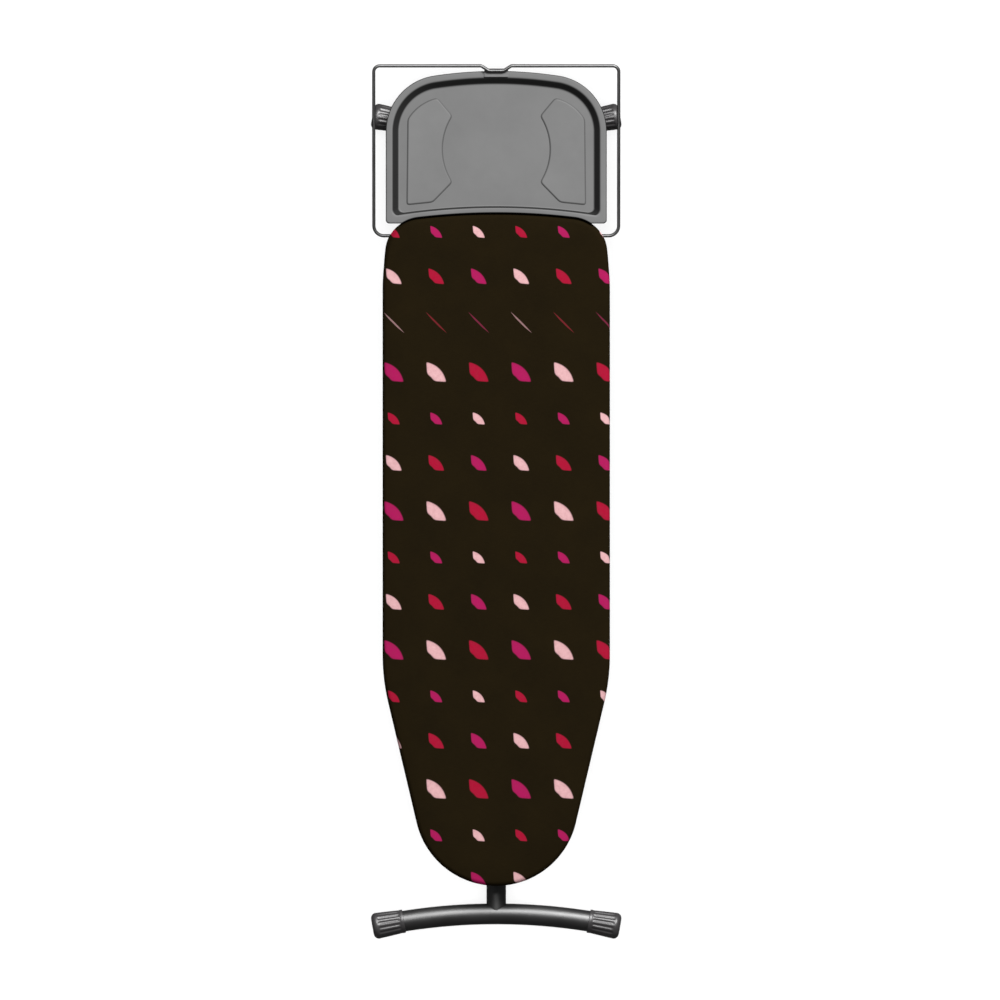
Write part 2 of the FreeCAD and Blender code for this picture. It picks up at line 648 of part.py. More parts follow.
def frame_tubes():
    """The perimeter tube in four lengths, butted below the shoulders and above the nose's round."""
    ring = swept_frame("frame_ring", "Dims.frame_radius", "Dims.frame_radius - Dims.tube_wall")
    head_end = "(Dims.head_edge - Dims.shoulder_start - Dims.frame_joint)"
    nose_end = f"({NOSE_TIP} + Dims.nose_radius + Dims.frame_joint)"
    half = "Dims.board_half_width"
    lengths = (("head", f"-{half}", f"2 * {half}", head_end, "Dims.head_edge"),
               ("left", f"-{half}", half, nose_end, head_end),
               ("right", "0", half, nose_end, head_end),
               ("nose", f"-{half}", f"2 * {half}", NOSE_TIP, nose_end))
    for piece, x, width, start, end in lengths:
        name = f"frame_tube_{piece}"
        zone = block(f"{name}_zone", width, f"{end} - ({start}) - Dims.fixed_gap", "4 * Dims.frame_radius",
                     x=x, y=f"{start} + Dims.fixed_gap / 2", z=f"{FRAME_Z} - 2 * Dims.frame_radius")
        part(common(name, ring, zone), name)


def cross_tubes(cutter):
    """Tubes across the frame, coped to its sides."""
    core = slab("frame_core", board_outline, FRAME_INSET, "Dims.frame_height - 2 * Dims.frame_radius",
                "4 * Dims.frame_radius")
    rows = (("nose", NOSE_CROSS), ("middle", "Dims.middle_cross"), ("head", UPPER_PIVOT))
    for row, y in rows:
        name = f"cross_tube_{row}"
        outer = cross_rod(f"{name}_outer", "Dims.cross_radius", "Dims.board_half_width", y=y, z=FRAME_Z)
        inner = cross_rod(f"{name}_inner", "Dims.cross_radius - Dims.tube_wall", "Dims.board_half_width",
                          y=y, z=FRAME_Z)
        inside = common(name, outer, core)
        part(cut(name, inside, cutter, inner), name)


def soft_top():
    """The steel panel, the padding, and the cover that wraps round them and the frame."""
    panel_inset = "(Dims.cover_thickness + 2 * Dims.cloth_gap + Dims.frame_radius / 2)"
    part(slab("mesh_panel", board_outline, panel_inset, MESH_BOTTOM, "Dims.mesh_thickness"), "mesh_panel")

    skin = "(Dims.cover_thickness + Dims.cloth_gap)"
    padding = slab("padding", board_outline, skin, PADDING_BOTTOM, "Dims.padding_thickness")
    top = val(f"{PADDING_BOTTOM} + Dims.padding_thickness")
    round_edges(padding, "padding_round", level_edges(padding, top),
                f"Dims.cover_edge_radius - {skin}")
    part(padding, "padding")

    bottom = f"({HEM_TOP} - Dims.cover_thickness)"
    outside = f"({COVER_INSIDE} + Dims.cover_thickness)"
    cover = slab("cover_wrap", board_outline, "0", bottom, f"{outside} - {bottom}")
    round_edges(cover, "cover_round", level_edges(cover, val(outside)), "Dims.cover_edge_radius")
    mouth = new_sketch(cover, "cover_mouth", offset=bottom)
    board_outline(mouth, "Dims.hem_width")
    pocket(cover, mouth, f"{HEM_TOP} - {bottom}", reversed_way=True)
    hollow = slab("cover_hollow", board_outline, "Dims.cover_thickness", HEM_TOP,
                  f"{COVER_INSIDE} - {HEM_TOP}")
    round_edges(hollow, "hollow_round", level_edges(hollow, val(COVER_INSIDE)),
                "Dims.cover_edge_radius - Dims.cover_thickness")
    notches = []
    for side, sign in SIDES:
        x = f"{sign} * Dims.tray_arm_offset"
        y = "(Dims.head_edge - Dims.hem_width)"
        notches += [
            rod(f"notch_{side}_round", "Dims.arm_notch_radius", "2 * Dims.hem_width", ALONG_Y,
                x=x, y=y, z=FRAME_Z),
            block(f"notch_{side}_slot", "2 * Dims.arm_notch_radius", "2 * Dims.hem_width",
                  f"{FRAME_Z} - {bottom}", x=f"{x} - Dims.arm_notch_radius", y=y, z=bottom)]
    part(cut("cover_shell", cover, hollow, *notches), "cover")


# ---- board: iron tray ----


def loft(body, kind, lower, upper):
    """Join two sketches of the same outline by a solid, or cut it away."""
    feature = body.newObject(kind, f"{lower.Name}_loft")
    feature.Profile = lower
    feature.Sections = [upper]
    feature.Ruled = True
    return feature


def well_sketches(tray, name, wall, lower, upper):
    """The well at its floor and at its mouth, drawn outwards by a wall."""
    floor_inset = f"(Dims.tray_rim + Dims.tray_slope - {wall})"
    floor_offset = f"(Dims.tray_near_rim + Dims.tray_near_slope - {wall})"
    floor = new_sketch(tray, f"{name}_floor", offset=lower)
    well_outline(floor, floor_inset, floor_offset)
    mouth = new_sketch(tray, f"{name}_mouth", offset=upper)
    well_outline(mouth, f"(Dims.tray_rim - {wall})", f"(Dims.tray_near_rim - {wall})")
    return floor, mouth


def iron_tray():
    """A shallow pan with sloping walls, a flat rim and a short lip round the rim."""
    tray = new_body("iron_tray")
    wall = "Dims.tray_wall"
    under_rim = f"(Dims.tray_rim_height - {wall})"
    rim = new_sketch(tray, "tray_rim_outline", offset=under_rim)
    tray_outline(rim, "0")
    pad(tray, rim, wall)
    lip = new_sketch(tray, "tray_lip_outline", offset="Dims.tray_rim_height - Dims.tray_lip")
    tray_outline(lip, "0")
    tray_outline(lip, wall)
    pad(tray, lip, f"Dims.tray_lip - {wall} / 2")
    loft(tray, "PartDesign::AdditiveLoft", *well_sketches(tray, "pan", wall, TRAY_BOTTOM, under_rim))
    well = well_sketches(tray, "well", "0", f"{TRAY_BOTTOM} + {wall}", "Dims.tray_rim_height")
    loft(tray, "PartDesign::SubtractiveLoft", *well)
    part(tray, "iron_tray")


def tray_pads():
    """Two raised pads, where the iron stands: straight outside, hollowed on the inner side."""
    start, length, width = "Dims.tray_pad_start", "Dims.tray_pad_length", "Dims.tray_pad_width"
    for side, sign in SIDES:
        name = f"tray_pad_{side}"
        body = new_body(name)
        sketch = new_sketch(body, f"{name}_outline", offset=f"{TRAY_BOTTOM} + Dims.tray_wall")
        shares = [(0, 0), (0.57, 0.025), (1, 0.215), (1, 0.83), (0.67, 1), (0.02, 0.8)]
        corners = [(f"{sign} * (Dims.tray_pad_outer - {across} * {width})", f"{start} + {along} * {length}")
                   for across, along in shares]
        arcs = {2: ("Dims.tray_pad_waist", 1), 4: ("Dims.tray_pad_shoulder", -1)}
        places = [(val(x), val(y)) for x, y in corners]
        edges = []
        for number, (first, last) in enumerate(zip(places, places[1:] + places[:1])):
            if number in arcs:
                edges.append(chord_arc(sketch, first, last, *arcs[number], sign))
            else:
                edges.append((line(sketch, first, last), 1, 2))
        pairs = zip(edges, edges[1:] + edges[:1], corners)
        for (edge, begin, end), (following, next_begin, _), corner in pairs:
            pin(sketch, edge, begin, *corner)
            sketch.addConstraint(Sketcher.Constraint("Coincident", edge, end, following, next_begin))
        pad(body, sketch, "Dims.tray_pad_thickness")
        part(body, name)


def chord_arc(sketch, first, last, radius, bulge, sign):
    """An arc between two corners of a left or right pad; bulge 1 hollows the pad, -1 fills it out.

    Returns it with its ends in the order of the outline."""
    size = val(radius)
    chord = (last[0] - first[0], last[1] - first[1])
    long = math.hypot(*chord)
    depth = math.sqrt(size ** 2 - (long / 2) ** 2)
    way = -sign * bulge
    normal = (-chord[1] / long * way, chord[0] / long * way)
    centre = ((first[0] + last[0]) / 2 - normal[0] * depth, (first[1] + last[1]) / 2 - normal[1] * depth)
    angles = [math.atan2(y - centre[1], x - centre[0]) for x, y in (first, last)]
    backwards = (angles[1] - angles[0]) % (2 * math.pi) > math.pi
    if backwards:
        angles.reverse()
    index = arc(sketch, centre, size, *angles)
    limit(sketch, "Radius", index, to=radius)
    return (index, 2, 1) if backwards else (index, 1, 2)


def tray_arms(cutter):
    """Two tubes that reach out of the frame's head under the tray, with plugs and clips."""
    start = f"(Dims.head_edge - {FRAME_INSET})"
    length = f"(Dims.tray_arm_end - {start})"
    for side, sign in SIDES:
        name = f"tray_arm_{side}"
        at = {"x": f"{sign} * Dims.tray_arm_offset", "y": start, "z": FRAME_Z}
        outer = rod(f"{name}_outer", "Dims.cross_radius", length, ALONG_Y, **at)
        inner = rod(f"{name}_inner", "Dims.cross_radius - Dims.tube_wall", length, ALONG_Y, **at)
        part(cut(name, outer, inner, cutter), name)
        at["y"] = "Dims.tray_arm_end - Dims.cross_radius"
        plug = rod(f"arm_plug_{side}_stem", "Dims.cross_radius - Dims.tube_wall - Dims.fixed_gap",
                   "Dims.cross_radius + Dims.bush_flange", ALONG_Y, **at)
        at["y"] = "Dims.tray_arm_end + Dims.fixed_gap"
        head = rod(f"arm_plug_{side}_head", "Dims.cross_radius", "Dims.bush_flange", ALONG_Y, **at)
        part(fuse(f"arm_plug_{side}", plug, head), f"arm_plug_{side}")


def tray_clips():
    """Four saddles under the tray floor that snap round the arms."""
    outer_radius = f"({CLIP_INNER} + Dims.clip_wall)"
    saddles = []
    rows = (("near", "Dims.tray_near_ends + 3 * Dims.clip_length"),
            ("far", "Dims.tray_arm_end - 2 * Dims.clip_length"))
    for side, sign in SIDES:
        for row, y in rows:
            name = f"clip_{side}_{row}"
            x = f"{sign} * Dims.tray_arm_offset"
            ring = rod(f"{name}_ring", outer_radius, "Dims.clip_length", ALONG_Y, x=x, y=y, z=FRAME_Z)
            hole = rod(f"{name}_hole", CLIP_INNER, "Dims.clip_length", ALONG_Y, x=x, y=y, z=FRAME_Z)
            below = block(f"{name}_below", f"2 * {outer_radius}", "Dims.clip_length", outer_radius,
                          x=f"{x} - {outer_radius}", y=y,
                          z=f"{FRAME_Z} - {outer_radius} - Dims.cross_radius / 3")
            above = block(f"{name}_above", f"2 * {outer_radius}", "Dims.clip_length", outer_radius,
                          x=f"{x} - {outer_radius}", y=y, z=TRAY_BOTTOM)
            saddles.append(cut(name, ring, hole, below, above))
    part(fuse("tray_clips", *saddles), "tray_clips")


def rail_rest():
    """The tab on the tray's far rim that the hanger rail's notch rests on."""
    body = block("rail_rest", "Dims.rest_width", "Dims.rest_length", "Dims.rest_rise",
                 x="-Dims.rest_width / 2", y="Dims.tray_far_edge - 0.7 * Dims.rest_length",
                 z="Dims.tray_rim_height")
    part(body, "rail_rest")


# ---- board: brackets and rails ----


def rail_brackets():
    """Blocks under the head cross tube that the hanger rail turns in."""
    for side, sign in SIDES:
        name = f"rail_bracket_{side}"
        x = f"{sign} * Dims.rail_bracket_offset - Dims.rail_bracket_width / 2"
        bottom = "(Dims.rail_pivot_height - 2.2 * Dims.rail_wire_radius)"
        body = block(f"{name}_block", "Dims.rail_bracket_width", "Dims.rail_bracket_length",
                     f"{CROSS_BOTTOM} - {bottom}", x=x,
                     y="Dims.rail_pivot - Dims.rail_bracket_length / 2", z=bottom)
        bore = rod(f"{name}_bore", "Dims.rail_wire_radius + Dims.running_gap", "Dims.rail_bracket_width",
                   ALONG_X, x=x, y="Dims.rail_pivot", z="Dims.rail_pivot_height")
        part(cut(name, body, bore), name)


def leg_bracket():
    """A U-shaped bracket under the head cross tube that straddles the top of leg A."""
    outer = f"({CHEEK} + Dims.bracket_plate)"
    length = "2 * Dims.bracket_half_length"
    y = f"{UPPER_PIVOT} - Dims.bracket_half_length"
    solid = block("bracket_solid", f"2 * {outer}", length, f"{CROSS_BOTTOM} - Dims.bracket_bottom",
                  x=f"-{outer}", y=y, z="Dims.bracket_bottom")
    space = block("bracket_space", f"2 * {CHEEK}", length,
                  f"{CROSS_BOTTOM} - Dims.bracket_bottom - Dims.bracket_plate",
                  x=f"-{CHEEK}", y=y, z="Dims.bracket_bottom")
    bore = cross_rod("bracket_bore", "Dims.pivot_radius + Dims.running_gap", outer, y=UPPER_PIVOT, z=LEG_Z)
    part(cut("leg_bracket", solid, space, bore), "leg_bracket")


def bolt_and_nut(name, half_grip, y):
    """A hexagon bolt along X with its nut, as two pieces."""
    height = "Dims.bolt_head_height"
    shank = rod(f"{name}_shank", "Dims.pivot_radius", f"2 * {half_grip} + {height} + Dims.fixed_gap",
                ALONG_X, x=f"-{half_grip} - Dims.fixed_gap", y=y, z=LEG_Z)
    head = hexagon(f"{name}_head", height, x=f"-{half_grip} - Dims.fixed_gap - {height}", y=y, z=LEG_Z)
    part(fuse(f"{name}_bolt", shank, head), f"{name}_bolt")
    nut = hexagon(f"{name}_nut_body", height, x=f"{half_grip} + Dims.fixed_gap", y=y, z=LEG_Z)
    thread = rod(f"{name}_thread", "Dims.pivot_radius + Dims.running_gap", height, ALONG_X,
                 x=f"{half_grip} + Dims.fixed_gap", y=y, z=LEG_Z)
    part(cut(f"{name}_nut", nut, thread), f"{name}_nut")


def slide_rails():
    """Two channels, open towards the middle, that guide the carriage."""
    inner = f"({EAR_OUTER} + Dims.slide_rail_gap)"
    bottom = f"({CROSS_BOTTOM} - Dims.slide_rail_height)"
    wall = "Dims.slide_rail_wall"
    for side, sign in SIDES:
        name = f"slide_rail_{side}"
        solid = block(f"{name}_solid", "Dims.slide_rail_depth", RAILS_LENGTH, "Dims.slide_rail_height",
                      x=f"{sign} * {inner} + {(sign - 1) / 2} * Dims.slide_rail_depth",
                      y=RAILS_START, z=bottom)
        space = block(f"{name}_space", f"Dims.slide_rail_depth - {wall}", RAILS_LENGTH,
                      f"Dims.slide_rail_height - 2 * {wall}",
                      x=f"{sign} * {inner} + {(sign - 1) / 2} * (Dims.slide_rail_depth - {wall})",
                      y=RAILS_START, z=f"{bottom} + {wall}")
        part(cut(name, solid, space), name)


def clamp_rod():
    """The rod that the clamp plate grips, and a block under each cross tube to hold it."""
    part(rod("clamp_rod", "Dims.clamp_rod_radius", RAILS_LENGTH, ALONG_Y, y=RAILS_START,
             z="Dims.clamp_rod_height"), "clamp_rod")
    bottom = "(Dims.clamp_rod_height - 1.5 * Dims.clamp_rod_radius)"
    for row, y in (("nose", NOSE_CROSS), ("middle", "Dims.middle_cross")):
        name = f"rod_block_{row}"
        start = f"{y} - Dims.rod_block_length / 2"
        body = block(f"{name}_block", "Dims.rod_block_width", "Dims.rod_block_length",
                     f"{CROSS_BOTTOM} - {bottom}", x="-Dims.rod_block_width / 2", y=start, z=bottom)
        bore = rod(f"{name}_bore", "Dims.clamp_rod_radius + Dims.running_gap", "Dims.rod_block_length",
                   ALONG_Y, y=start, z="Dims.clamp_rod_height")
        part(cut(name, body, bore), name)


# ---- legs ----


def foot_ring(name, radius, letter_sign, foot_y):
    """A torus segment that is the foot's bow; its ends point away from the board's middle."""
    ring = doc.addObject("Part::Torus", name)
    half_angle = "asin((Dims.foot_half_width - Dims.cap_length / 2) / Dims.foot_bow)"
    bind(ring, Radius1="Dims.foot_bow", Radius2=radius, Angle3=f"2 * {half_angle}")
    middle = 90 if letter_sign < 0 else 270
    reach = math.degrees(math.asin(val("(Dims.foot_half_width - Dims.cap_length / 2) / Dims.foot_bow")))
    turn = FreeCAD.Rotation(FreeCAD.Vector(0, 0, 1), middle - reach)
    return place(ring, y=f"{foot_y} + {letter_sign} * Dims.foot_bow", z=LEG_Z, turn=turn)


def foot_tube(letter, sign, foot_y):
    outer = foot_ring(f"foot_{letter}_outer", "Dims.foot_radius", sign, foot_y)
    inner = foot_ring(f"foot_{letter}_inner", "Dims.foot_radius - Dims.leg_wall", sign, foot_y)
    part(cut(f"foot_{letter}", outer, inner), f"foot_{letter}_tube")
    return foot_ring(f"foot_{letter}_cutter", "Dims.foot_radius + Dims.fixed_gap", sign, foot_y)


def foot_cap(letter, side, across, sign, foot_y):
    """A ribbed cap, fatter at its round end, pushed on the foot tube. Its own X axis points outwards."""
    name = f"foot_{letter}_cap_{side}"
    body = new_body(name)
    profile = new_sketch(body, f"{name}_profile")
    length, mouth, wide = "Dims.cap_length", "Dims.cap_mouth_radius", "Dims.cap_radius"
    socket = "Dims.foot_radius + Dims.cap_gap"
    polygon(profile, [
        ("0", socket), ("0", f"{mouth} + Dims.groove_depth"),
        ("Dims.collar_step", f"{mouth} + Dims.groove_depth"), ("Dims.collar_step", mouth),
        (f"{length} - Dims.cap_end_radius", wide), (length, f"{wide} - Dims.cap_end_radius"),
        (length, "0"), ("Dims.cap_socket", "0"), ("Dims.cap_socket", socket)])
    turned = body.newObject("PartDesign::Revolution", f"{name}_turned")
    turned.Profile = profile
    turned.ReferenceAxis = (profile, ["H_Axis"])
    turned.Angle = 360
    doc.recompute()
    groove = new_sketch(body, f"{name}_groove")
    start, end = "(2 * Dims.collar_step)", f"({length} - Dims.cap_end_radius - Dims.collar_step)"
    slope = f"(({wide} - {mouth}) / ({length} - Dims.cap_end_radius - Dims.collar_step))"
    low = [f"{mouth} + {slope} * ({x} - Dims.collar_step) - Dims.groove_depth" for x in (start, end)]
    polygon(groove, [(start, low[0]), (end, low[1]), (end, f"{wide} + Dims.groove_depth"),
                     (start, f"{wide} + Dims.groove_depth")])
    slot = pocket(body, groove, "Dims.groove_width", both_ways=True)
    pattern = body.newObject("PartDesign::PolarPattern", f"{name}_grooves")
    pattern.Originals = [slot]
    pattern.Axis = (groove, ["H_Axis"])
    pattern.Angle = 360
    bind(pattern, Occurrences="Dims.groove_count")
    body.Tip = pattern
    # The cap is straight and the foot tube bows, so the cap's axis touches the bow halfway along the socket.
    touch = "((Dims.foot_half_width - Dims.cap_length + Dims.cap_socket / 2) / Dims.foot_bow)"
    heading = across * sign * math.degrees(math.asin(val(touch)))
    turn = FreeCAD.Rotation(FreeCAD.Vector(0, 0, 1), heading if across > 0 else 180 + heading)
    straight = f"sqrt(1 - {touch}^2)"
    out = f"(Dims.foot_bow * {touch} - Dims.cap_socket / 2 * {straight})"
    drop = f"(Dims.foot_bow * (1 - {straight}) - Dims.cap_socket / 2 * {touch})"
    place(body, x=f"{across} * {out}", y=f"{foot_y} + {sign} * {drop}", z=LEG_Z, turn=turn)
    part(body, name)


def feet():
    """Both feet, which bow away from each other. Returns the solids that their legs are coped with."""
    cutters = {}
    for letter, sign, foot_y in (("a", -1, FOOT_A), ("b", 1, FOOT_B)):
        cutters[letter] = foot_tube(letter, sign, foot_y)
        for side, across in SIDES:
            foot_cap(letter, side, across, sign, foot_y)
    return cutters


def leg_a(cutter):
    """The single leg: a tube coped to its foot, with a bored plug in its upper end."""
    length = f"({UPPER_PIVOT} + Dims.leg_end - {FOOT_A})"
    bore_radius = "Dims.pivot_radius + Dims.running_gap"
    outer = rod("leg_a_outer", "Dims.leg_a_radius", length, ALONG_Y, y=FOOT_A, z=LEG_Z)
    inner = rod("leg_a_inner", "Dims.leg_a_radius - Dims.leg_wall", length, ALONG_Y, y=FOOT_A, z=LEG_Z)
    upper = cross_rod("leg_a_upper_bore", bore_radius, "Dims.leg_a_radius", y=UPPER_PIVOT, z=LEG_Z)
    middle = cross_rod("leg_a_middle_bore", bore_radius, "Dims.leg_a_radius", y="Dims.scissor_pivot", z=LEG_Z)
    part(cut("leg_a", outer, inner, cutter, upper, middle), "leg_a_tube")

    end = f"({UPPER_PIVOT} + Dims.leg_end)"
    stem = rod("leg_a_bush_stem", "Dims.leg_a_radius - Dims.leg_wall - Dims.fixed_gap", "Dims.bush_length",
               ALONG_Y, y=f"{end} - Dims.bush_length + Dims.fixed_gap", z=LEG_Z)
    flange = rod("leg_a_bush_flange", "Dims.leg_a_radius", "Dims.bush_flange", ALONG_Y,
                 y=f"{end} + Dims.fixed_gap", z=LEG_Z)
    hole = cross_rod("leg_a_bush_bore", bore_radius, "Dims.leg_a_radius", y=UPPER_PIVOT, z=LEG_Z)
    part(cut("leg_a_bush", fuse("leg_a_bush", stem, flange), hole), "leg_a_bush")


def leg_b(cutter):
    """The twin leg: two tubes coped to their foot, and a brace between them beyond the end of leg A."""
    start = f"({SLIDE_PIVOT} - Dims.leg_b_radius)"
    length = f"({FOOT_B} - {start})"
    bore_radius = "Dims.pivot_radius + Dims.running_gap"
    brace_y = f"({FOOT_B} - Dims.brace_offset)"
    for side, sign in SIDES:
        name = f"leg_b_tube_{side}"
        x = f"{sign} * Dims.leg_b_offset"
        outer = rod(f"{name}_outer", "Dims.leg_b_radius", length, ALONG_Y, x=x, y=start, z=LEG_Z)
        inner = rod(f"{name}_inner", "Dims.leg_b_radius - Dims.leg_wall", length, ALONG_Y,
                    x=x, y=start, z=LEG_Z)
        bores = [
            rod(f"{name}_{row}_bore", radius, "2 * Dims.leg_b_radius", ALONG_X,
                x=f"{x} - Dims.leg_b_radius", y=y, z=LEG_Z)
            for row, radius, y in (("middle", bore_radius, "Dims.scissor_pivot"),
                                   ("upper", "Dims.slide_pin_radius + Dims.running_gap", SLIDE_PIVOT))
        ]
        part(cut(name, outer, inner, cutter, *bores), name)
    span = "(Dims.leg_b_offset - Dims.leg_b_radius / 2)"
    bar = cross_rod("brace_bar", "Dims.brace_radius", span, y=brace_y, z=LEG_Z)
    coping = [
        rod(f"brace_coping_{side}", "Dims.leg_b_radius + Dims.fixed_gap", "4 * Dims.brace_radius", ALONG_Y,
            x=f"{sign} * Dims.leg_b_offset", y=f"{brace_y} - 2 * Dims.brace_radius", z=LEG_Z)
        for side, sign in SIDES
    ]
    part(cut("leg_b_brace", bar, *coping), "leg_b_brace")


def crossing():
    """The bolt where the legs cross, and the spacers that keep them apart."""
    grip = "(Dims.leg_b_offset + Dims.leg_b_radius + Dims.fixed_gap)"
    bolt_and_nut("scissor", grip, "Dims.scissor_pivot")
    inner = "(Dims.leg_a_radius + Dims.cloth_gap)"
    length = f"(Dims.leg_b_offset - Dims.leg_b_radius - Dims.cloth_gap - {inner})"
    for side, sign in SIDES:
        name = f"scissor_spacer_{side}"
        x = f"{sign} * {inner} + {(sign - 1) / 2} * {length}"
        sleeve = rod(f"{name}_sleeve", "Dims.spacer_radius", length, ALONG_X,
                     x=x, y="Dims.scissor_pivot", z=LEG_Z)
        bore = rod(f"{name}_bore", "Dims.pivot_radius + Dims.running_gap", length, ALONG_X,
                   x=x, y="Dims.scissor_pivot", z=LEG_Z)
        part(cut(name, sleeve, bore), name)


def slide_pins():
    """Headed pins through the tops of the twin tubes, which turn in the carriage's ears."""
    start = "(Dims.leg_b_offset - Dims.leg_b_radius - Dims.slide_head_height - Dims.fixed_gap)"
    length = f"({EAR_OUTER} + Dims.fixed_gap + Dims.slide_head_height - {start})"
    head = "Dims.slide_head_height"
    for side, sign in SIDES:
        name = f"slide_pin_{side}"
        shank = rod(f"{name}_shank", "Dims.slide_pin_radius", length, ALONG_X,
                    x=f"{sign} * {start} + {(sign - 1) / 2} * {length}", y=SLIDE_PIVOT, z=LEG_Z)
        ends = [
            rod(f"{name}_{end}", "Dims.slide_head_radius", head, ALONG_X,
                x=f"{sign} * {x} + {(sign - 1) / 2} * {head}", y=SLIDE_PIVOT, z=LEG_Z)
            for end, x in (("head", start), ("clip", f"({start} + {length} - {head})"))
        ]
        part(fuse(name, shank, *ends), name)


# ---- carriage and release lever ----


def carriage():
    """Two ears on slider blocks, joined by a bridge that the clamp rod passes through."""
    y = f"{SLIDE_PIVOT} - Dims.ear_half_length"
    rail_inner = f"({EAR_OUTER} + Dims.slide_rail_gap)"
    reach = f"(Dims.slide_rail_gap + Dims.slide_rail_depth - Dims.slide_rail_wall - Dims.slider_gap)"
    gap = "(Dims.slide_rail_wall + Dims.slider_gap)"
    for side, sign in SIDES:
        ear = block(f"ear_{side}_plate", "Dims.ear_thickness", "2 * Dims.ear_half_length",
                    "Dims.bridge_top - Dims.ear_bottom",
                    x=f"{sign} * {EAR_INNER} + {(sign - 1) / 2} * Dims.ear_thickness",
                    y=y, z="Dims.ear_bottom")
        bore = rod(f"ear_{side}_bore", "Dims.slide_pin_radius + Dims.running_gap", "Dims.ear_thickness",
                   ALONG_X, x=f"{sign} * {EAR_INNER} + {(sign - 1) / 2} * Dims.ear_thickness",
                   y=SLIDE_PIVOT, z=LEG_Z)
        part(cut(f"ear_{side}", ear, bore), f"carriage_ear_{side}")
        slider = block(f"slider_block_{side}", reach, "2 * Dims.ear_half_length",
                       f"Dims.slide_rail_height - 2 * {gap}",
                       x=f"{sign} * {EAR_OUTER} + {(sign - 1) / 2} * {reach}", y=y,
                       z=f"{CROSS_BOTTOM} - Dims.slide_rail_height + {gap}")
        part(slider, f"slider_block_{side}")
    bridge_y = f"({SLIDE_PIVOT} - Dims.bridge_thickness / 2)"
    bar = block("bridge_bar", f"2 * {EAR_INNER}", "Dims.bridge_thickness",
                "Dims.bridge_top - Dims.bridge_bottom", x=f"-{EAR_INNER}", y=bridge_y, z="Dims.bridge_bottom")
    lugs = []
    for side, sign in SIDES:
        x = f"{sign} * {LUG_INNER} + {(sign - 1) / 2} * Dims.lug_thickness"
        web = block(f"lug_{side}_web", "Dims.lug_thickness", f"{bridge_y} - {LEVER_PIN_Y}",
                    "2 * Dims.lug_radius", x=x, y=LEVER_PIN_Y, z="Dims.bridge_top - Dims.lug_radius")
        eye = rod(f"lug_{side}_eye", "Dims.lug_radius", "Dims.lug_thickness", ALONG_X,
                  x=x, y=LEVER_PIN_Y, z="Dims.bridge_top")
        lugs += [web, eye]
    channel = rod("bridge_channel", "Dims.clamp_rod_radius + Dims.clamp_rod_gap", "Dims.bridge_thickness",
                  ALONG_Y, y=bridge_y, z="Dims.clamp_rod_height")
    pin_hole = cross_rod("lug_bore", "Dims.lever_pin_radius + Dims.running_gap",
                         f"({LUG_INNER} + Dims.lug_thickness)", y=LEVER_PIN_Y, z="Dims.bridge_top")
    part(cut("bridge", fuse("bridge", bar, *lugs), channel, pin_hole), "carriage_bridge")


def lever_pin():
    """The pin of the clamp plate, with the spring coil on its longer end."""
    left = f"({LUG_INNER} + Dims.lug_thickness + Dims.bush_flange)"
    right = f"({LUG_INNER} + Dims.lug_thickness + Dims.spring_pitch * (Dims.spring_turns + 1))"
    part(rod("lever_pin", "Dims.lever_pin_radius", f"{left} + {right}", ALONG_X, x=f"-{left}",
             y=LEVER_PIN_Y, z="Dims.bridge_top"), "lever_pin")
    helix = doc.addObject("Part::Helix", "spring_helix")
    bind(helix, Pitch="Dims.spring_pitch", Height="Dims.spring_pitch * Dims.spring_turns",
         Radius="Dims.spring_radius - Dims.spring_wire")
    wire = doc.addObject("Part::RegularPolygon", "spring_section")
    wire.Polygon = 8
    bind(wire, Circumradius="Dims.spring_wire")
    place(wire, x="Dims.spring_radius - Dims.spring_wire",
          turn=FreeCAD.Rotation(FreeCAD.Vector(1, 0, 0), 90))
    doc.recompute()
    coil = doc.addObject("Part::Sweep", "spring_sweep")
    coil.Sections = [wire]
    coil.Spine = (helix, ["Edge1"])
    coil.Solid = True
    coil.Frenet = True
    place(coil, x=f"{LUG_INNER} + Dims.lug_thickness + Dims.spring_wire + Dims.fixed_gap",
          y=LEVER_PIN_Y, z="Dims.bridge_top", turn=ALONG_X)
    part(coil, "clamp_spring")


def hang_on_lever_pin(body):
    """Put a piece, drawn with the lever pin at its origin, in the leaning position that grips the rod."""
    turn = FreeCAD.Rotation(FreeCAD.Vector(1, 0, 0), -val("Dims.lever_cant"))
    return place(body, y=LEVER_PIN_Y, z="Dims.bridge_top", turn=turn)


def clamp_plate():
    """A barrel on the lever pin with a plate below it, bored for the clamp rod."""
    width = "Dims.plate_half_width"
    body = new_body("clamp_plate")
    barrel = new_sketch(body, "clamp_barrel", "YZ_Plane", offset=f"-{width}")
    circle(barrel, "0", "0", "2 * Dims.lever_pin_radius")
    pad(body, barrel, f"2 * {width}")
    face = new_sketch(body, "clamp_face", "YZ_Plane", offset=f"-{width}")
    half = "Dims.plate_thickness / 2"
    corners = [(f"-{half}", "-Dims.plate_drop"), (half, "-Dims.plate_drop"), (half, "0"), (f"-{half}", "0")]
    polygon(face, corners)
    pad(body, face, f"2 * {width}")
    bore = new_sketch(body, "clamp_bore", "YZ_Plane", offset=f"-{width}")
    circle(bore, "0", "0", "Dims.lever_pin_radius + Dims.running_gap")
    pocket(body, bore, f"2 * {width}", reversed_way=True)
    hole = new_sketch(body, "clamp_hole", "XZ_Plane")
    circle(hole, "0", "Dims.clamp_rod_height - Dims.bridge_top", "Dims.clamp_rod_radius + Dims.clamp_bite")
    pocket(body, hole, "2 * Dims.plate_thickness", both_ways=True)
    part(hang_on_lever_pin(body), "clamp_plate")


